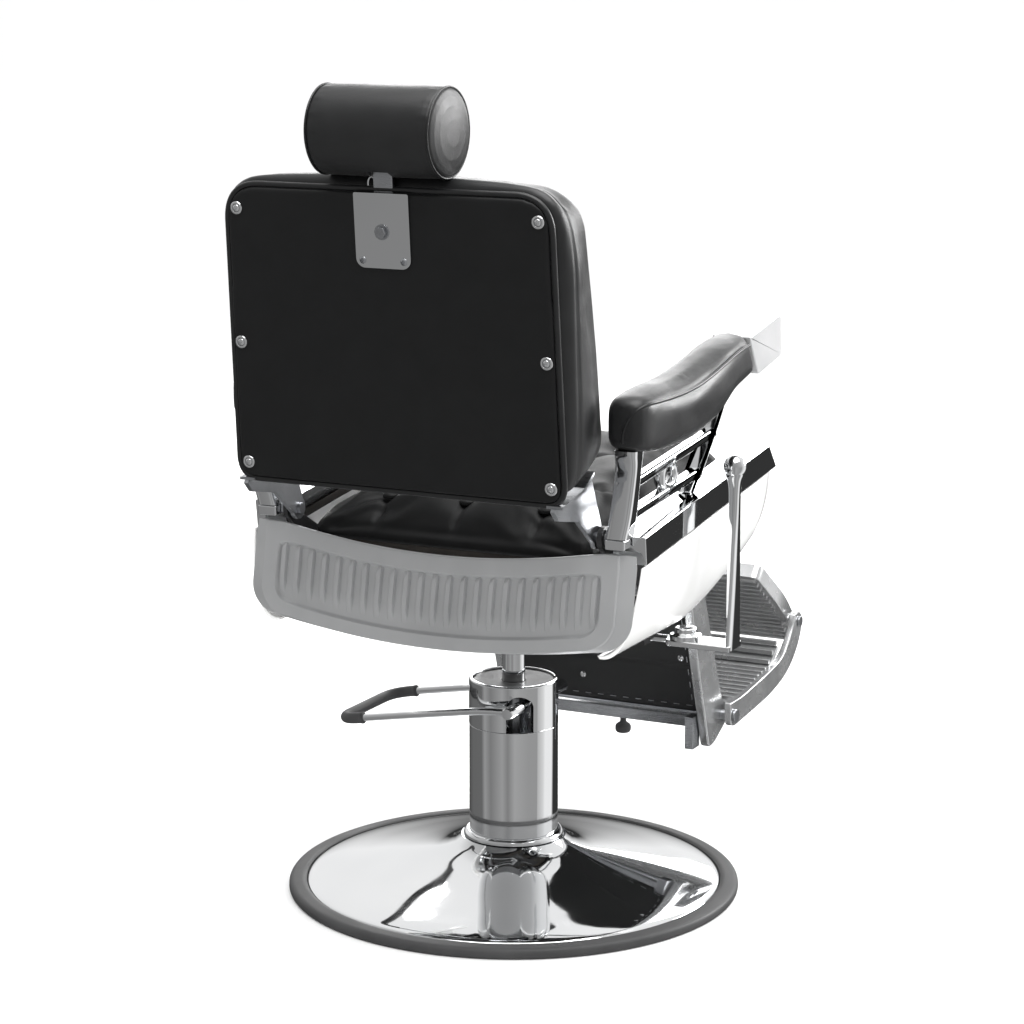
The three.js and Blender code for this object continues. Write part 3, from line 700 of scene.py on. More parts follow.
# along y and down the panel: x falls from the rail's face inwards as a superellipse of the angle
def buildSidePanels(s):
    y = np.linspace(s["rear"], s["front"], s["rows"])[:, None]
    a = np.linspace(0, math.pi / 2, s["cols"])[None, :]
    high = railTop(y) - s["drop"]
    low = 436 + 74 * np.clip((20 - y) / 270, 0, 1) ** 1.5
    x = s["inner"] + s["bulge"] * np.maximum(np.cos(a), 1e-6) ** 0.75 + 0 * y
    z = high - (high - low) * np.sin(a) ** 1.25
    fade = np.clip((y - 20) / 201, 0, 1)
    slant = y + 0.2 * (600 - z) * fade
    turnIn = s["turnIn"] * smoothStep(-y, 228, 258)
    outer = np.stack([x - turnIn, slant, z], -1)
    inner = np.stack([x - turnIn - s["wall"], slant, z + 5 * a / (math.pi / 2)], -1)
    panel = shell(outer, inner)
    for piece in makePair("sideCover", [panel], enamel, "seat", "side_panel", flats=False):
        edge = piece.modifiers.new("edge", "BEVEL")
        edge.width = s["lip"] * toMetres
        edge.segments = 2
        edge.limit_method = "ANGLE"
        edge.angle_limit = math.radians(50)


skirt = {"half": 294, "corner": 52, "innerCorner": 34, "innerTop": 7, "sides": 24, "topBand": 24,
         "lowBand": 18, "face": 239, "floor": 233, "back": 225, "flare": 302, "front": 281, "ribs": 23,
         "pitch": 22.4, "ribHalf": 6, "ribTall": 5.8, "ribRows": 40,
         "ribFoot": 26, "ribHead": 25}


# heights of the skirt's upper and lower edge at a distance from the middle
def skirtTop(x):
    return 554 + 33 * (x / 293) ** 2 - 3 * (x / 293) ** 6


def skirtLow(x):
    return 421 + 0.00036 * x * x


# the skirt's smile-shaped outline: a rising top curve, a low curve, round lower corners; the bands draw it in
def skirtOutline(s, sides=0.0, topBand=0.0, lowBand=0.0, corner=52.0, topCorner=5.0):
    half = s["half"] - sides

    def top(x):
        return skirtTop(x) - topBand

    def low(x):
        return skirtLow(x) + lowBand

    x = np.linspace(-1, 1, 61)
    upper = np.stack([x * (half - 2), top(x * half) - topCorner * np.abs(x) ** 24], 1)
    a = np.linspace(0, -math.pi / 2, 13)
    right = np.stack([half - corner + corner * np.cos(a),
                      low(half - corner) + corner * 0.9 * (1 + np.sin(a))], 1)
    across = np.linspace(1, -1, 42)[1:-1] * (half - corner)
    lower = np.stack([across, low(across)], 1)
    down = np.linspace(0.12, 0.9, 8)[:, None]
    start, end = np.array([half, top(half) - topCorner * 2.2]), right[0]
    rightEdge = start * (1 - down) + end * down
    left = right[::-1] * np.array([-1, 1])
    leftEdge = rightEdge[::-1] * np.array([-1, 1])
    return np.concatenate([upper, rightEdge, right, lower, left, leftEdge])


# one rib: along its length a steep cut top and a long fading foot, across it a flat-topped ridge
def skirtRibs(s):
    centre = (np.arange(s["ribs"]) - (s["ribs"] - 1) / 2)[:, None, None] * s["pitch"]
    across = np.array([-1, -0.9, -0.62, -0.5, 0, 0.5, 0.62, 0.9, 1])[None, None, :]
    ridge = np.array([0, 0.12, 0.9, 1, 1, 1, 0.9, 0.12, 0])[None, None, :]
    t = np.linspace(0, 1, s["ribRows"])[None, :, None]
    t = 1 - (1 - t) ** 1.25
    x = centre + s["ribHalf"] * across + 0 * t
    middle = centre + 0 * t
    low = skirtLow(middle) + s["ribFoot"]
    high = 554 + 33 * (middle / 293) ** 2 - s["ribHead"]
    z = low + (high - low) * t + 0 * across
    cut = 3.5 + 11 * smoothStep(across, -1, 1)         # the top is cut on a slant
    rise = np.clip((high + 1 - z) / cut, 0, 1) * smoothStep(z - low, -1, 30)
    y = s["floor"] - 0.6 + s["ribTall"] * ridge * rise
    front = np.stack([x, y, z], -1)
    floor = np.stack([x, np.full_like(x, s["floor"] - 3), z], -1)
    ribs = []
    for k in range(s["ribs"]):
        ribs.append(shell(front[k], floor[k]))
    return ribs


def buildSkirt(s):
    rings = []
    flare = skirtOutline(s) * np.array([s["flare"] / s["half"], 1])
    rings.append((flare, s["back"] - 0.5))
    rings.append((skirtOutline(s), s["face"] - 4.5))
    for inset, y in ((0.4, -2.4), (1.4, -0.8), (3, 0)):
        rings.append((skirtOutline(s, inset, inset, inset, s["corner"] - inset), s["face"] + y))
    for inset, y in ((0, 0), (1.2, -0.5), (2.2, -1.8), (4.2, -4.6), (5.4, -5.7), (7, -6)):
        rings.append((skirtOutline(s, s["sides"] + inset, s["topBand"] + inset, s["lowBand"] + inset,
                                   s["innerCorner"] - inset, s["innerTop"]), s["face"] + y))
    narrow = np.array([s["front"] / s["half"], 1])
    rings = rings[:1] + [(outline * narrow, y) for outline, y in rings[1:]]
    grid = np.stack([np.insert(outline, 1, y, axis=1) for outline, y in rings])
    makePiece("skirtPressing", [moved(shape, onSkirt) for shape in [tubeShape(grid)] + skirtRibs(s)], silver,
              "seat", ["rear_skirt"], sharp=38)


support = {
    "rear": [(0, 275.5, 232, 16, 18), (640, 283, 236, 16, 15.5), (700, 290.5, 238.5, 16, 13.5),
             (722, 291.5, 239, 16.5, 17), (729, 291.5, 239, 16.5, 17)],
    "heel": [(226, 589.5), (249, 589.5), (249, 604), (226, 604)], "heelAcross": (260, 290),
    "front": [(20, 0), (-67, 705), (-92, 748), (-100, 767), (-127, 769), (-118, 752), (-84, 712), (-7, 0)],
    "frontCorner": (3, 30, 12, 8, 8, 12, 30, 3),
    "upper": ((-80, 705), (232, 674), 15), "lower": ((-30, 655), (226, 633), 15),
    "oval": (88, 669, 30, 0.82), "hole": (15, 0.7), "across": (270, 292), "linkAcross": (273, 290),
}


def strip(start, end, width):
    start, end = np.array(start, float), np.array(end, float)
    along = (end - start) / np.linalg.norm(end - start)
    side = np.array([-along[1], along[0]]) * width / 2
    return np.stack([start + side, start - side, end - side, end + side])


def buildSupports(s):
    def feet(points):
        return [(y, z if z else railTop(y) + 0.7) for y, z in points]

    low, high = s["across"]
    inLow, inHigh = s["linkAcross"]
    cy, cz, r, squash = s["oval"]
    eyeR, eyeSquash = s["hole"]
    ring = circle(r, 64, squash) + np.array([cy, cz])
    eye = circle(eyeR, 64, eyeSquash) + np.array([cy, cz])
    a = np.linspace(0, 2 * math.pi, 13)[:-1]
    # the ring's section is an oval of its own, carried between the eye and the outer edge
    mix = (0.5 + 0.5 * np.cos(a))[:, None, None]
    plan = eye[None] * (1 - mix) + ring[None] * mix
    height = (inLow + inHigh) / 2 + (inHigh - inLow) / 2 * np.sin(a)[:, None] * np.ones(len(ring))
    oval = tubeShape(np.concatenate([plan, height[..., None]], -1), wrapRows=True)
    legRows = [(z if z else railTop(232) + 0.7, x, y, wide, deep) for z, x, y, wide, deep in s["rear"]]
    rows = curveThrough(legRows, 50)
    a = np.arange(48) * math.pi / 24
    c, d = np.cos(a), np.sin(a)
    u, v = np.sign(c) * np.abs(c) ** 0.42, np.sign(d) * np.abs(d) ** 0.42
    z, x, y, wide, deep = rows.T[:, :, None]
    rearLeg = tubeShape(np.stack([x + wide * u, y + deep * v, z + 0 * u], -1))
    heel = slabX(rounded(s["heel"], 2.5, 4), *s["heelAcross"], 2.5, 3)
    shapes = [rearLeg, heel,
              slabX(rounded(feet(s["front"]), s["frontCorner"], 6), low, high, 5, 5),
              slabX(rounded(strip(*s["upper"]), 2), inLow, inHigh, 4, 4),
              slabX(rounded(strip(*s["lower"]), 2), inLow, inHigh, 4, 4),
              moved(oval, acrossX)]
    makePair("armCasting", shapes, chrome, "seat", "arm_support")


cap = {"outline": [(-128.6, 838), (-246, 858), (-252, 854), (-256, 799), (-252, 795), (-164.4, 779)],
       "rounding": (3, 5, 4, 3, 4, 5), "across": (260, 320)}


def buildCaps(s):
    low, high = s["across"]
    body = slabX(rounded(s["outline"], s["rounding"], 7), low, high, 2.4, 4)
    makePair("armNose", [body], satin, "seat", "arm_cap")


buildRails(rail)
buildSidePanels(sidePanel)
buildSkirt(skirt)
buildSupports(support)
buildCaps(cap)
print("seat frame made")

# the top falls away towards the rear, the front and the two sides, each fall growing as a square
def seatCushionForm(p):
    rear = smoothStep(p[:, 1], 150, 222)
    front = smoothStep(-p[:, 1], 210, 284)
    edge = smoothStep(np.abs(p[:, 0]), 165, 226)
    up = smoothStep(p[:, 2], 556, 600)
    high = p[:, 2] - up * (16 * rear ** 2 + 20 * front ** 2 + 9 * edge ** 2)
    return np.stack([p[:, 0], p[:, 1], high], 1)


# distance from points to a line piece, worked out on the first two coordinates
def lineDistance(p, start, end):
    start, end = np.array(start, float), np.array(end, float)
    along = end - start
    t = np.clip(((p[:, :2] - start) @ along) / (along @ along), 0, 1)
    return np.linalg.norm(p[:, :2] - start - t[:, None] * along, axis=1)


seatPad = {
    "outline": [(-223, -278), (223, -278), (223, 219), (-223, 219)], "corner": (40, 40, 26, 26),
    "low": 551, "high": 602, "edge": 12,
    "cloth": {"voxel": 6, "pressure": 4, "tension": 18, "frames": 20, "cap": 16, "ease": 3},
    "rows": (148, 12, -124), "columns": 125, "buttonReach": 14, "buttonSunk": 1.5,
    "dent": 13, "dentWidth": 26, "pleat": 5,
    "pleatWidth": 6, "hem": 213,
}


def tuftPlaces(s):
    even = [(k * s["columns"], y) for y in s["rows"][::2] for k in (-1, 0, 1)]
    odd = [((k + 0.5) * s["columns"], s["rows"][1]) for k in (-2, -1, 0, 1)]
    return even, odd


def buildSeatPad(s):
    outline = rounded(s["outline"], s["corner"], 10)
    piece = makePiece("seatPad", [plate(outline, s["low"], s["high"], s["edge"], 5)], seatVinyl, "seat",
                      ["seat_cushion"], sharp=0)
    puffed(piece, s["cloth"], lambda p: smoothStep(p[:, 2], 556, 578), seatCushionForm)
    even, odd = tuftPlaces(s)
    p = pointsOf(piece)
    top = smoothStep(p[:, 2], 566, 592)
    sink = np.zeros(len(p))
    for x, y in even + odd:
        sink += s["dent"] * np.exp(-((p[:, 0] - x) ** 2 + (p[:, 1] - y) ** 2) / s["dentWidth"] ** 2)
    seams = [((x, y), (u, v)) for x, y in even for u, v in odd if abs(x - u) < s["columns"] * 0.6]
    seams += [((x, s["rows"][0]), (x, s["hem"])) for x in (-s["columns"], 0, s["columns"])]
    seams += [((x, s["rows"][2]), (x, -s["hem"] - 50)) for x in (-s["columns"], 0, s["columns"])]
    for start, end in seams:
        sink += s["pleat"] * np.exp(-(lineDistance(p, start, end) / s["pleatWidth"]) ** 2)
    p[:, 2] -= np.minimum(sink, s["dent"] + 3) * top
    rearFace = smoothStep(p[:, 1], 196, 218)
    for x in (-s["columns"], 0, s["columns"]):
        p[:, 1] -= 5 * rearFace * np.exp(-((p[:, 0] - x) / 7) ** 2) * top
    surface = p.copy()
    setPoints(piece, onSeat(p))
    dome = rounded([(0, 4.6), (7, 4.2), (12.4, 0.4), (12.4, -4), (0, -4)], (0.5, 3, 2, 1, 0.5))
    button = turned(dome, 40, closed=False)
    for k, (x, y) in enumerate(even + odd):
        near = np.hypot(surface[:, 0] - x, surface[:, 1] - y) < s["buttonReach"]
        z = float(surface[near, 2].max()) - s["buttonSunk"]
        placed = moved(shifted(button, x, y, z), onSeat)
        makePiece("tuftButton_%d" % k, [placed], seatVinyl, "seat", flats=False)


backPlane = 366.6        # the face of the back panel that the cushion lies against
backPad = {
    "corners": [(-258, 672), (258, 672), (260, 1089), (-260, 1089)], "corner": (24, 24, 66, 66),
    "depth": [(660, 104), (690, 134), (727, 140), (783, 138), (856, 130), (926, 119), (997, 106), (1045, 94),
              (1061, 84), (1077, 72), (1092, 64)],
    "slab": 100, "edge": 17, "rise": 26, "crown": 12,
    "middle": 870.0, "seamAt": 25, "seamDeep": 2.6, "seamWide": 2.4,
    "cloth": {"voxel": 6, "pressure": 4, "tension": 18, "frames": 20, "cap": 7, "ease": 10},
}


def buildBackPad(s):
    heights, depths = np.array(s["depth"]).T

    def form(p):
        forward = (backPlane - p[:, 1]) / s["slab"]
        crown = s["crown"] * (1 - (p[:, 0] / 257) ** 2) * smoothStep(p[:, 2], 1000, 1083)
        lift = s["rise"] * np.clip(forward, 0, 1) * smoothStep(-p[:, 2], -760, -672)
        depth = np.interp(p[:, 2], heights, depths)
        sideways = 1 - 0.04 * smoothStep(np.abs(p[:, 0]), 150, 257)
        z = p[:, 2] + crown * smoothStep(forward, 0, 0.3) + lift
        return np.stack([p[:, 0], backPlane - forward * depth * sideways, z], 1)

    outline = rounded(s["corners"], s["corner"], 14)
    slab = slabY(outline, backPlane - s["slab"], backPlane - 0.5, s["edge"], 6)
    piece = makePiece("backPad", [slab], vinyl, "back", ["back_cushion"], sharp=0)
    puffed(piece, s["cloth"], lambda p: smoothStep(backPlane - p[:, 1], 6, 30), form)
    p = pointsOf(piece)
    # a stitched line runs round the sides parallel to the panel's edge
    line = backPlane - s["seamAt"]
    middle = np.array([0, 0, s["middle"]])
    out = (p - middle) * np.array([1, 0, 1])
    out = out / np.maximum(np.linalg.norm(out, axis=1, keepdims=True), 1e-6)
    p = p - out * (s["seamDeep"] * np.exp(-((p[:, 1:2] - line) / s["seamWide"]) ** 2))
    setPoints(piece, onBack(p))


# y, lowest z, highest z, inner x, outer x, how far the foot of the row runs forward
armPad = {
    "rows": [(268, 744, 788, 278, 312, 0), (264, 738, 793, 273, 318, 0), (256, 733, 798, 268, 323, 0),
             (240, 728, 801, 264, 328, 0), (200, 723, 804, 259.5, 330.5, 0), (150, 722, 805, 256.5, 331.5, 0),
             (100, 722.5, 808, 255.5, 331.5, 0), (50, 729, 815, 255.5, 330.5, 3),
             (0, 741, 823, 256.5, 328.5, 10), (-60, 767, 833, 258.5, 324.5, 22),
             (-124, 780, 840, 262, 317, 38)],
    "count": 90, "around": 56, "power": 4.4,
    "cloth": {"voxel": 4, "pressure": 4, "tension": 22, "frames": 14, "cap": 3, "ease": 1},
    "welt": [(-325.5, -112, 829), (-327, -64, 824), (-328, -20, 816), (-328.5, 30, 806.5),
             (-328.5, 73, 799.5), (-328.5, 120, 795.5), (-328.5, 172, 794.5), (-327.5, 217, 795), (-323.5, 245, 794.5),
             (-314, 262, 788), (-303, 267.5, 775), (-296, 268.5, 757), (-294, 267, 742)],
    "weltRadius": 2.4,
}


def buildArmPads(s):
    rows = curveThrough(s["rows"], s["count"])
    a = np.arange(s["around"]) * 2 * math.pi / s["around"]
    # the section is a superellipse with a fuller top
    c, d = np.cos(a), np.sin(a)
    u = np.sign(c) * np.abs(c) ** (2 / s["power"])
    v = np.sign(d) * np.abs(d) ** (2 / s["power"])
    y, z0, z1, xa, xb, slant = rows.T[:, :, None]
    x = (xa + xb) / 2 + (xb - xa) / 2 * u
    z = (z0 + z1) / 2 + (z1 - z0) / 2 * v + 4.5 * (1 - u ** 2) * np.clip(v, 0, 1)
    grid = np.stack([x, y - slant * (z1 - z) / (z1 - z0), z], -1)
    body = tubeShape(grid)
    welt = curveThrough(s["welt"], 220)
    for piece in makePair("armPad", [body], vinyl, "seat", "arm_pad", sharp=0):
        puffed(piece, s["cloth"], lambda p: smoothStep(p[:, 2], 730, 780) * smoothStep(p[:, 1], -118, -80))
    for side, name in ((-1, "left"), (1, "right")):
        path = welt * np.array([side, 1, 1])
        makePiece("armWelt_" + name, [swept(path, circle(s["weltRadius"], 12))], welting, "seat", flats=False)


panel = {
    "corners": [(-248, 669), (248, 669), (242, 1078), (-242, 1078)], "corner": (26, 26, 48, 48),
    "low": 367.2, "high": 378.8, "edge": 3.4, "voxel": 4,
    "groove": [(-16, 900), (16, 900), (16, 1100), (-16, 1100)],
    "screws": [(228, 1048), (233.5, 861), (233.5, 690)], "dimple": 2.6, "dimpleWidth": 20,
    "weltRadius": 4.2, "weltOut": 3.4, "weltAt": 371,
}


def buildPanel(s):
    outline = rounded(s["corners"], s["corner"], 14)
    groove = slabY(s["groove"], 366, 375.9, 0.2, 1)
    body = slabY(outline, s["low"], s["high"], s["edge"], 4)
    # the board takes the darker copy of the black vinyl, whose lower colour is painted shade
    piece = makePiece("backBoard", [body], shadedPanelVinyl, "back", ["back_panel"], sharp=0)

    def dimpled(p):
        rear = smoothStep(p[:, 1], 374, 378)
        sink = np.zeros(len(p))
        for x, z in s["screws"]:
            for side in (-1, 1):
                gap = np.hypot(p[:, 0] - side * x, p[:, 2] - z)
                sink += s["dimple"] * np.exp(-(gap / s["dimpleWidth"]) ** 2)
        swell = 1.6 * np.cos(p[:, 0] / 260 * math.pi / 2) * np.cos((p[:, 2] - 872) / 230 * math.pi / 2)
        return p + np.stack([0 * rear, rear * (swell * 0.5 - sink), 0 * rear], 1)

    formed(piece, s["voxel"], dimpled, 2)
    cutAway(piece, [groove])
    setPoints(piece, onBack(pointsOf(piece)))
    piece.modifiers.clear()
    edge = curveThrough(evenly(np.concatenate([outline, outline[:1]]), 121)[:-1], 360, closed=True)
    ring = drawnIn(edge, -s["weltOut"])
    path = np.insert(ring, 1, s["weltAt"], axis=1)
    cord = swept(path, circle(s["weltRadius"], 14), up=(0, 1, 0), closed=True)
    makePiece("backWelt", [moved(cord, onBack)],
              welting, "back", flats=False)


# a shape made up the z axis, set out along y at a place
def alongY(shape, x, y, z):
    return moved(shape, lambda p: p[..., [0, 2, 1]] + np.array([x, y, z]))


screw = {"cup": [(5.6, 0), (9.2, 0), (9.4, 0.5), (8.6, 1.9), (7, 2.6), (5.9, 2.2), (5.6, 1.4)],
         "head": [(0, 3.9), (2.4, 3.6), (4.6, 2.4), (5.4, 1.0), (5.4, 0), (0, 0)],
         "slot": 0.75, "slotLong": 2.9, "sunk": 2.2}


# two bars that cut a cross recess
def crossTool(s, x, y, z):
    bars = []
    for half, long in ((s["slot"], s["slotLong"]), (s["slotLong"], s["slot"])):
        bar = plate([(-half, -long), (half, -long), (half, long), (-half, long)], 1.6, 9, 0.1, 1)
        bars.append(alongY(bar, x, y, z))
    return bars


def buildScrews(s):
    cup = turned(rounded(s["cup"], (0.2, 0.3, 0.3, 0.6, 0.6, 0.4, 0.2), 4), 48)
    head = turned(rounded(s["head"], (0.2, 1, 1, 0.6, 0.2, 0.1), 5), 48, closed=False)
    number = 0
    for x, z in panel["screws"]:
        for side in (1, -1):
            number += 1
            y = panel["high"] - s["sunk"]
            shapes = [moved(alongY(cup, side * x, y + 0.3, z), onBack),
                      moved(alongY(head, side * x, y + 0.5, z), onBack)]
            piece = makePiece("cupScrew_%d" % number, shapes, chrome, "back", ["back_screw_%d" % number],
                              sharp=30)
            for tool in crossTool(s, side * x, y + 0.5, z):
                cutAway(piece, [moved(tool, onBack)])


bracket = {
    "outline": [(-41.5, 1078), (-41.5, 984), (-33, 976.5), (33, 976.5), (41.5, 984), (41.5, 1078)],
    "corner": (3, 6, 6, 6, 6, 3), "low": 379.5, "high": 383, "bolt": 1026,
    "washer": [(0, 0), (10.8, 0), (10.8, 1.4), (0, 1.4)], "hex": 8.6, "hexTall": 7.4,
    "small": (31, 987), "head": [(0, 2.6), (2.6, 2.4), (5.2, 0.6), (5.2, -1), (0, -1)],
}


def buildBracket(s):
    outline = rounded(s["outline"], s["corner"], 8)
    face = moved(slabY(outline, s["low"], s["high"], 0.7, 2), onBack)
    x, z = s["small"]
    head = rounded(s["head"], (0.3, 1.2, 1, 0.4, 0.2), 5)
    head = turned(head, 40, closed=False)
    heads = [moved(alongY(head, side * x, s["high"], z), onBack) for side in (-1, 1)]
    makePiece("mastBracket", [face], chrome, "back", ["headrest_plate"], sharp=30)
    for k, shape in enumerate(heads):
        small = makePiece("bracketScrew_%d" % k, [shape], steel, "back", sharp=30)
        for tool in crossTool({"slot": 0.8, "slotLong": 2.8}, (-x, x)[k], s["high"] - 1, z):
            cutAway(small, [moved(tool, onBack)])
    a = np.arange(6) * math.pi / 3 + 0.2
    hexagon = rounded(s["hex"] * np.stack([np.cos(a), np.sin(a)], 1), 0.8, 3)
    nut = plate(hexagon, 1.2, s["hexTall"], 1.2, 3)
    washer = turned(rounded(s["washer"], (0.1, 0.5, 0.5, 0.1)), 56, closed=False)
    shank = turned([(0, -6), (3.8, -6), (3.8, 1), (0, 1)], 24, closed=False)
    shapes = [moved(alongY(shape, 0, s["high"], s["bolt"]), onBack) for shape in (nut, washer, shank)]
    makePiece("clampScrew", shapes, steel, "back", ["clamp_bolt"], sharp=30)


mast = {
    "centre": (380, 1158), "half": 14.5, "halfThick": 2.9, "plane": 371.6, "from": 944.0, "to": 1118.0,
    "ring": (19.5, 388, 1088), "ringHalf": (5.5, 9), "wire": 1.5,
}


def buildMast(s):
    y, z = s["centre"]
    foot = onBack(np.array([[0, s["plane"], s["from"]]]))[0]
    head = onBack(np.array([[0, s["plane"], s["to"]]]))[0]
    path = rounded([(0, foot[1], foot[2]), (0, head[1], head[2]), (0, y, z - 6), (0, y, z + 4)],
                   (1, 22, 10, 1), 12, closed=False)
    path = evenly(path, 60)
    w, t = s["half"], s["halfThick"]
    section = rounded([(-w, -t), (w, -t), (w, t), (-w, t)], 1.2, 4)
    strap = swept(path, section, up=(0, 1, 0))
    eye = turned(rounded([(4.6, -w), (10.6, -w), (10.6, w), (4.6, w)], 1.2, 4), 48)
    eye = moved(eye, lambda p: p[..., [2, 0, 1]] + np.array([0, y, z]))
    makePiece("mastStrap", [strap, eye], steel, "headrest_mast", ["headrest_post"], sharp=35)
    a = np.arange(40) * math.pi / 20
    (x, y, z), (wide, tall) = s["ring"], s["ringHalf"]
    ring = np.stack([x + wide * np.cos(a), y + 0 * a, z + tall * np.sin(a)], 1)
    makePiece("mastRing", [swept(ring, circle(s["wire"], 10), up=(0, 1, 0), closed=True)], chrome,
              "headrest_mast", flats=False)


headRoll = {
    "centre": (380, 1158),
    "profile": [(0.3, -100), (18, -99.6), (36, -98.2), (48, -96), (56, -93.4), (58.6, -91.4), (58.2, -90.2),
                (59.8, -88), (60.6, -80), (61, -50), (61, 50), (60.6, 80), (59.8, 88), (58.2, 90.2),
                (58.6, 91.4), (56, 93.4), (48, 96), (36, 98.2), (18, 99.6), (0.3, 100)],
    "around": 144, "pucker": 0.5, "welt": 1.5,
    "mouth": [(366, 1172), (394, 1172), (414, 1092), (356, 1092)],
}


def buildHeadRoll(s):
    y, z = s["centre"]
    profile = evenly(s["profile"], 220)
    angle = np.arange(s["around"]) * 2 * math.pi / s["around"]
    r, x = profile[:, 0, None], profile[:, 1, None]
    # gathers: ripples round the cloth that die away from the two seams
    near = np.exp(-((np.abs(x) - 84) / 9) ** 2) 
    ripple = np.sin(17 * angle + 0.6 * np.sin(5 * angle)) + 0.5 * np.sin(31 * angle + 1.3)
    slack = 0.5 * np.sin(3 * angle + x / 40) * np.clip(1 - np.abs(x) / 92, 0, 1)
    r = r + s["pucker"] * near * ripple * 0.5 + slack * np.clip(r / 50, 0, 1)
    grid = np.stack([x + 0 * r, y + r * np.cos(angle), z + r * np.sin(angle)], -1)
    piece = makePiece("headRoll", [tubeShape(grid)], vinyl, "headrest", ["headrest_roll"], sharp=50,
                      flats=False)
    cutAway(piece, [slabX(s["mouth"], -17, 17, 0.5, 1)])
    around = np.arange(160) * math.pi / 80
    for side, name in ((1, "left"), (-1, "right")):
        path = np.stack([np.full(160, side * 91.2), y + 60 * np.cos(around), z + 60 * np.sin(around)], 1)
        cord = swept(path, circle(s["welt"], 10), up=(1, 0, 0), closed=True)
        makePiece("rollWelt_" + name, [cord], welting,
                  "headrest", flats=False)


buildSeatPad(seatPad)
print("seat cushion made")
buildBackPad(backPad)
print("back cushion made")
buildArmPads(armPad)
print("arm pads made")
buildPanel(panel)
buildScrews(screw)
buildBracket(bracket)
buildMast(mast)
buildHeadRoll(headRoll)
print("back and headrest made")

legs = {
    "bar": [(-229, 510), (-273, 335), (-336, 148), (-358, 150), (-405, 172), (-412, 190), (-404, 210),
            (-388, 216), (-346, 318), (-271, 500)],
    "barCorner": (10, 60, 8, 8, 12, 12, 12, 12, 50, 10), "across": (165, 180), "pivot": (-250, 506),
    "eye": 22, "face": 12, "fold": 286,
    "cloth": {"voxel": 4, "pressure": 4, "tension": 20, "frames": 12, "cap": 4, "ease": 2},
    "screws": [(-146, 330), (-146, 300), (30, 250), (146, 330), (146, 300)],
    "screwHead": [(0, 3), (3, 2.6), (5.4, 0.8), (5.4, -1.4), (0, -1.4)],
    "panel": [(205, 12), (400, 12), (400, 34), (300, 46), (205, 36)], "half": 164.5,
}


# the calf panel's rear plane: y for a height, set forward by "off"
def calfPlane(z, off):
    return -273 - (335 - z) * 0.337 - off


def buildLegs(s):
    low, high = s["across"]
    py, pz = s["pivot"]
    outline = rounded(s["bar"], s["barCorner"], 10)
    bar = slabX(outline, low, high, 2.6, 4)
    eye = slabX(circle(s["eye"], 60) + np.array([py, pz]), low, high, 2.6, 4)
    makePair("legCasting", [bar, eye], alloy, "leg_rest", "leg_bar")
    profile = np.array([(calfPlane(z, off), z) for z, off in s["panel"]])
    half = s["half"] - 0.3
    slab = slabX(rounded(profile[::-1], (4, 6, 12, 12, 4), 5), -half, half, 3, 3)
    piece = makePiece("calfPad", [slab], vinyl, "leg_rest", ["calf_panel"], sharp=0)

    def pulled(p):
        rear = np.exp(-((p[:, 1] - calfPlane(p[:, 2], s["face"])) / 3) ** 2)
        fold = np.exp(-((p[:, 2] - s["fold"]) / 2.5) ** 2) * 2.2
        hollow = 1.6 * np.cos(p[:, 0] / 175 * math.pi / 2) * np.cos((p[:, 2] - 302) / 104 * math.pi / 2)
        return p - np.stack([0 * rear, rear * (fold + hollow), 0 * rear], 1)

    puffed(piece, s["cloth"], lambda p: smoothStep(calfPlane(p[:, 2], s["face"]) - p[:, 1], 6, 20), pulled)
    staple = plate(rounded([(-5, -0.6), (5, -0.6), (5, 0.6), (-5, 0.6)], 0.4, 3), -0.6, 0.7, 0.3, 2)
    upright = moved(staple, lambda p: p[..., [1, 0, 2]])

    # laid on the panel's rear plane at a place
    def laid(shape, x, z):
        points = shape[0]
        high = z + points[..., 1]
        deep = calfPlane(high, s["face"]) + points[..., 2]
        return [np.stack([points[..., 0] + x, deep, high], -1), *shape[1:]]

    shapes = [laid(staple, x, 217) for x in np.arange(-150, 151, 22)]
    shapes += [laid(upright, side * 156, z) for z in np.arange(232, 396, 22) for side in (-1, 1)]
    makePiece("calfStaples", shapes, steel, "leg_rest", sharp=30)
    dome = turned(rounded(s["screwHead"], (0.3, 1.2, 1, 0.4, 0.2), 5), 36, closed=False)
    domes = [alongY(dome, x, calfPlane(z, s["face"]) + 0.6, z) for x, z in s["screws"]]
    makePiece("calfScrews", domes, chrome, "leg_rest", sharp=50)
    half = s["half"] - 0.1
    corners = [(calfPlane(z, off), z) for z, off in ((180, 20), (200, 20), (200, 4), (180, 4))]
    bar = slabX(rounded(corners, 1.5, 3), -half, half, 0.6, 1)
    lug = rounded([(-334, 150), (-306, 150), (-306, 203), (-334, 203)], 2.5, 4)
    lug = slabX(lug, 150, half, 1, 2)
    makePiece("calfRail", [bar, lug, mirrored(lug)], steel, "leg_rest", ["calf_bar"])
    print("leg rest made")


foot = {
    "side": [(-372, 214), (-374, 178), (-391, 172), (-548, 186), (-626, 205), (-671, 238), (-690, 270),
             (-690, 290),
             (-678, 300), (-660, 301), (-640, 266), (-600, 236), (-542, 226), (-484, 220), (-419, 213)],
    "corner": (4, 8, 8, 40, 40, 30, 10, 8, 8, 6, 30, 30, 30, 30, 30), "across": (190, 201),
    "tread": [(-414, 196), (-414, 205), (-560, 226), (-585, 241), (-604, 256), (-608, 250), (-590, 233),
              (-566, 216)],
    "half": 190.6,
    "ribs": 12, "pivot": (-388, 190), "toe": (-674, 283), "tilt": 43,
    "toePlan": [(172, -56), (184, -30), (184, 50), (167, 142), (-167, 142), (-184, 50), (-184, -30),
                (-172, -56)],
}


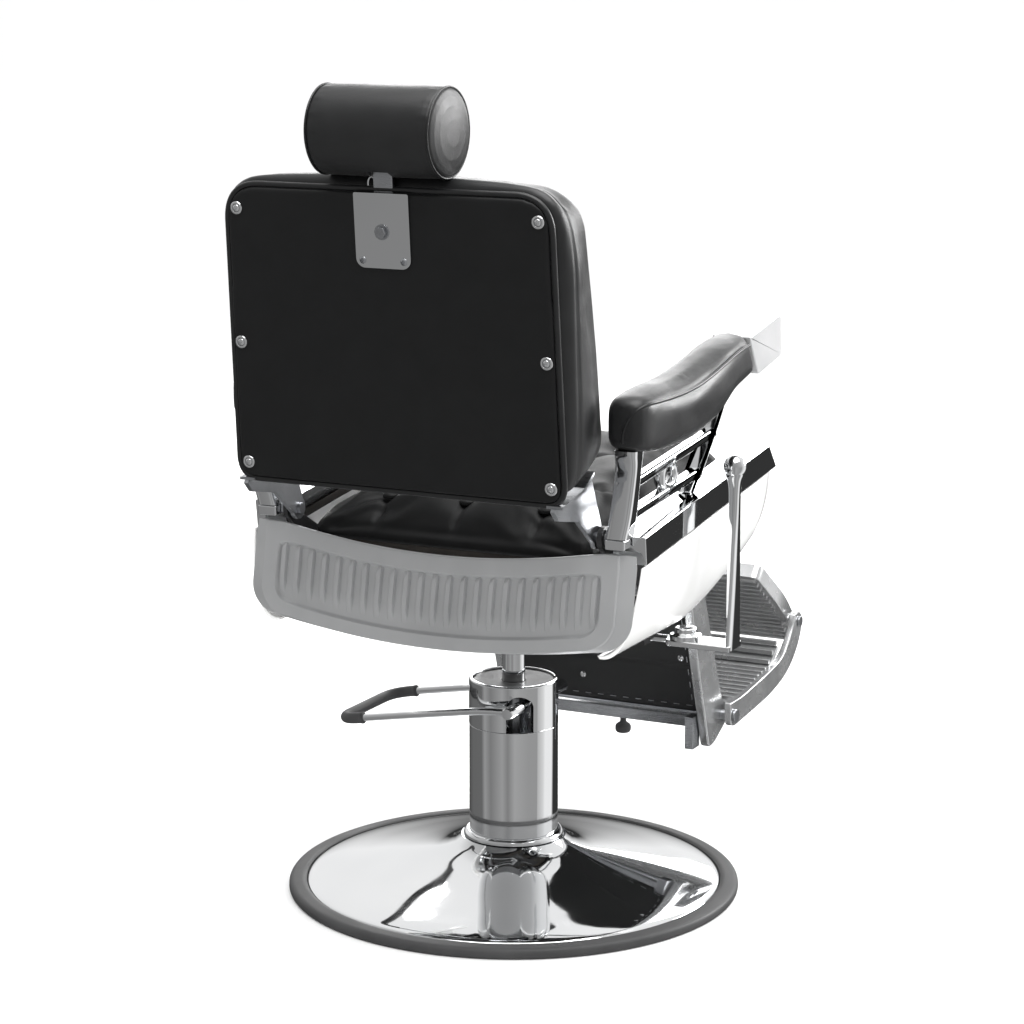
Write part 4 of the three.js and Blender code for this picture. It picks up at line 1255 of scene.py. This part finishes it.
# x-lengthwise round bar through (y, z)
def shaftAlongX(radius, half, y, z, edge=1.0):
    profile = rounded([(0, -half), (radius, -half), (radius, half), (0, half)], (0.1, edge, edge, 0.1), 4)
    return moved(turned(profile, 40, closed=False), lambda p: p[..., [2, 0, 1]] + np.array([0, y, z]))


def buildFoot(s):
    low, high = s["across"]
    side = moved(plate(rounded(s["side"], s["corner"], 8), low, high, 2, 3), acrossX)
    tread = slabX(rounded(s["tread"], (1, 1, 20, 12, 2, 2, 12, 20), 6), -s["half"], s["half"], 0.4, 1)
    tab = plate(rounded([(-12, -420), (12, -420), (12, -397.5), (-12, -397.5)], 3, 5), 196, 204, 0.8, 2)
    shapes = [side, mirrored(side), tread, tab]
    for i in range(s["ribs"]):
        y = -424 - 16 * i
        z = 205 + (-414 - y) * 0.144 + 0.62 * max(0, -556 - y)
        rib = rounded([(y + 3.5, z - 2), (y + 2, z + 5), (y - 2, z + 5.5), (y - 3.5, z - 2)], 1, 4)
        shapes.append(moved(plate(rib, -s["half"] + 0.5, s["half"] - 0.5, 0.6, 2), acrossX))
    makePiece("footCasting", shapes, alloy, "foot_rest", ["foot_platform"])
    y, z = s["pivot"]
    nuts = [shifted(shaftAlongX(11, 2.2, y, z, 0.8), side * 203.8) for side in (-1, 1)]
    makePiece("footAxle", [shaftAlongX(8, 203, y, z)] + nuts, steel, "leg_rest", ["foot_shaft"], sharp=30)
    stop = rounded([(0, 134), (10, 134), (13, 138), (13, 146), (9, 150), (5, 152), (5, 195.4), (0, 195.4)],
                   (0.1, 3, 3, 3, 3, 3, 0.4, 0.1), 5)
    makePiece("footBuffer", [shifted(turned(stop, 40, closed=False), y=-405)], rubber,
              "foot_rest", ["foot_stop"], flats=False)
    a = math.radians(s["tilt"])
    ty, tz = s["toe"]

    def tipped(p):
        y, z = p[..., 1], p[..., 2]
        return np.stack([p[..., 0], ty + y * math.cos(a) - z * math.sin(a),
                         tz + y * math.sin(a) + z * math.cos(a)], -1)

    plan = np.array(s["toePlan"], float)
    outer = rounded(plan, (8, 12, 20, 12, 12, 20, 12, 8), 8)
    inset = np.where(plan[:, 1] < 0, plan[:, 1] + 6, plan[:, 1] - 8)
    inner = rounded(np.stack([plan[:, 0] * 0.955, inset], 1),
                    (7, 11, 18, 10, 10, 18, 11, 7), 8)
    rings = [(drawnIn(outer, 0.9), 20), (outer, 19), (outer, -5), (drawnIn(outer, 1), -6)]
    pan = [(inner, 20), (inner, 3), (drawnIn(inner, 1), 2)]
    grid = [np.column_stack([plan2, np.full(len(plan2), h)]) for plan2, h in pan[::-1] + rings]
    shapes = [moved(tubeShape(np.stack(grid)), tipped)]
    for i in range(15):
        y = -49 + 13 * i
        half = 172 if y < 50 else 172 - (y - 50) / 92 * 12
        rib = rounded([(y - 3.5, -5), (y - 2.2, -10.4), (y + 2.2, -10.4), (y + 3.5, -5)], 1.2, 4)
        shapes.append(moved(plate(rib, -half, half, 1, 2), lambda p: tipped(acrossX(p))))
    for side in (-1, 1):
        hub = moved(shaftAlongX(12, 6.4, 0, 0, 1.5), lambda p: p + np.array([side * 179.6, 0, 0]))
        shapes.append(moved(hub, tipped))
    makePiece("toeCasting", shapes, alloy, "toe", ["toe_plate"])
    nuts = [shifted(shaftAlongX(9, 1.7, ty, tz, 0.8), side * 203.2) for side in (-1, 1)]
    makePiece("toeAxle", [shaftAlongX(6, 203, ty, tz)] + nuts, steel, "foot_rest", ["toe_shaft"], sharp=30)
    print("foot rest made")


handle = {
    "line": -15,
    "strap": [(401, 24, 5), (430, 22, 5.5), (500, 17, 6.5), (560, 13, 7), (600, 10, 7.5), (632, 9, 8),
              (645, 10, 9.5), (655, 13, 13), (659, 13.4, 13.4)],
    "knob": (19, 17, 668), "foot": (-349, -246, 24), "footHigh": (399.5, 408.5), "hub": (-272, 24),
}


def buildHandle(s):
    y = s["line"]
    rows = curveThrough(s["strap"], 90)
    a = np.arange(40) * math.pi / 20
    c, d = np.cos(a), np.sin(a)
    u, v = np.sign(c) * np.abs(c) ** 0.75, np.sign(d) * np.abs(d) ** 0.75
    z, half, thick = rows.T[:, :, None]
    stem = tubeShape(np.stack([-345 + thick * v, y + half * u, z + 0 * u], -1))
    x1, x2, w = s["foot"]
    corners = [(x1, y - w), (x2, y - w), (x2, y + w), (x1, y + w)]
    bottom = plate(rounded(corners, (2, 14, 14, 2), 8), *s["footHigh"], 2, 3)
    rx, rz, kz = s["knob"]
    t = np.linspace(-math.pi / 2, math.pi / 2, 33)
    ball = np.stack([rx * 0.9 * np.cos(t), rz * np.sin(t)], 1)
    ball[0, 0] = ball[-1, 0] = 0.2
    knob = moved(turned(ball, 64, closed=False), lambda p: p + np.array([-345, y, kz]))
    hubX, hubR = s["hub"]
    hub = turned(rounded([(0, 406), (hubR, 406), (hubR, 415), (hubR - 7, 417), (hubR - 8, 425), (0, 425)],
                         (0.1, 1.5, 2, 2, 2.5, 0.1), 5), 64, closed=False)
    hub = moved(hub, lambda p: p + np.array([hubX, y, 0]))
    shaft = moved(shaftAlongX(6, 24, y, 404), lambda p: p + np.array([-221, 0, 0]))
    makePiece("lockHandle", [stem, bottom, knob, hub, shaft], chrome, "handle", ["recline_lever"], sharp=40)


def buildLock():
    rod = moved(turned(rounded([(0, 68), (5, 68), (5, 172), (9, 173), (9, 192), (0, 192)],
                               (0.1, 1, 1, 1.5, 1.5, 0.1), 4), 40, closed=False),
                lambda p: p[..., [0, 2, 1]] + np.array([150, 0, 478]))
    makePiece("lockPlunger", [rod], chrome, "lock", ["lock_rod"], sharp=35, flats=False)


buildLegs(legs)
buildFoot(foot)
buildHandle(handle)
buildLock()
print("handle made")

camera = {"lens": 101.25, "place": (-1.8455, 3.7507, 1.417), "pitch": 90 - 11.402, "heading": 206.234}


def addCamera(s):
    data = bpy.data.cameras.new("view")
    data.lens = s["lens"]
    data.sensor_width = 36
    data.clip_end = 200
    viewer = bpy.data.objects.new("view", data)
    viewer.location = s["place"]
    viewer.rotation_euler = (math.radians(s["pitch"]), 0, math.radians(s["heading"]))
    scene.collection.objects.link(viewer)
    scene.camera = viewer


studio = {"floor": 60, "floorGrey": 0.93,
          # brightness of the low surroundings by direction, from -X round by -Y, +X and +Y back to -X
          "around": [(0.0, 0.5), (0.05, 0.75), (0.07, 0.95), (0.145, 0.95), (0.165, 0.04), (0.33, 0.03),
                     (0.46, 0.14), (0.57, 0.15), (0.6, 0.34), (0.65, 0.22), (0.74, 0.36), (0.78, 0.24),
                     (0.83, 0.4), (0.93, 0.34)]}


def addStudio(s):
    half = s["floor"]
    mesh = bpy.data.meshes.new("studioFloor")
    corners = [(-half, -half, 0), (half, -half, 0), (half, half, 0), (-half, half, 0)]
    mesh.from_pydata(corners, [], [(0, 1, 2, 3)])
    floor = bpy.data.objects.new("studioFloor", mesh)
    scene.collection.objects.link(floor)
    material = newFinish("paleFloor", "floor", (s["floorGrey"],) * 3, 0.0, 0.7)[0]
    mesh.materials.append(material)
    floor.visible_glossy = False

    lights = [
        ("overhead", (-0.6, 0.4, 3.4), (0, 0, 0.6), (2.6, 2.6), 95),
        ("sideBank", (-2.6, -3.3, 1.9), (0, 0.2, 0.9), (1.8, 1.5), 150),
        ("backBank", (1.2, -4.2, 2.2), (0, 0, 0.6), (3.2, 2.2), 80),
    ]
    for name, place, target, size, power in lights:
        data = bpy.data.lights.new(name, "AREA")
        data.shape = "RECTANGLE"
        data.size, data.size_y = size
        data.energy = power
        lamp = bpy.data.objects.new(name, data)
        away = np.array(target) - np.array(place)
        flat = math.hypot(away[0], away[1])
        lamp.location = place
        lamp.rotation_euler = (math.pi / 2 + math.atan2(away[2], flat), 0, math.atan2(-away[0], away[1]))
        scene.collection.objects.link(lamp)

    world = bpy.data.worlds.new("studio")
    scene.world = world
    world.use_nodes = True
    tree = world.node_tree
    direction = addNode(world, "ShaderNodeTexCoord").outputs["Generated"]
    axes = addNode(world, "ShaderNodeSeparateXYZ", {"Vector": direction})
    towardsBack = addNode(world, "ShaderNodeMath", {0: axes.outputs["Y"], 1: 0.5}, operation="MULTIPLY_ADD")
    towardsBack.inputs[2].default_value = 0.5
    upper = addRamp(world, towardsBack.outputs[0], [(0.0, 1.0), (0.3, 0.9), (0.55, 0.5), (1.0, 0.3)])
    turn = addNode(world, "ShaderNodeMath", {0: axes.outputs["Y"], 1: axes.outputs["X"]}, operation="ARCTAN2")
    bearing = addNode(world, "ShaderNodeMath", {0: turn.outputs[0], 1: 0.5 / math.pi, 2: 0.5},
                      operation="MULTIPLY_ADD")
    lower = addRamp(world, bearing.outputs[0], s["around"])
    height = addNode(world, "ShaderNodeMath", {0: axes.outputs["Z"], 1: 4.0}, operation="MULTIPLY_ADD")
    height.inputs[2].default_value = 0.3
    height.use_clamp = True
    mix = addNode(world, "ShaderNodeMix", {"Factor": height.outputs[0], 6: lower, 7: upper}, data_type="RGBA")
    seen = addNode(world, "ShaderNodeLightPath").outputs["Is Glossy Ray"]
    around = tree.nodes["Background"]
    around.inputs["Strength"].default_value = 1.0
    tree.links.new(mix.outputs[2], around.inputs["Color"])
    plain = addNode(world, "ShaderNodeBackground", {"Color": (1, 1, 1, 1), "Strength": 1.12})
    both = addNode(world, "ShaderNodeMixShader", {0: seen, 1: plain.outputs[0], 2: around.outputs[0]})
    tree.links.new(both.outputs[0], tree.nodes["World Output"].inputs["Surface"])
    scene.view_settings.view_transform = "Standard"


addCamera(camera)
addStudio(studio)
print("camera and studio made")
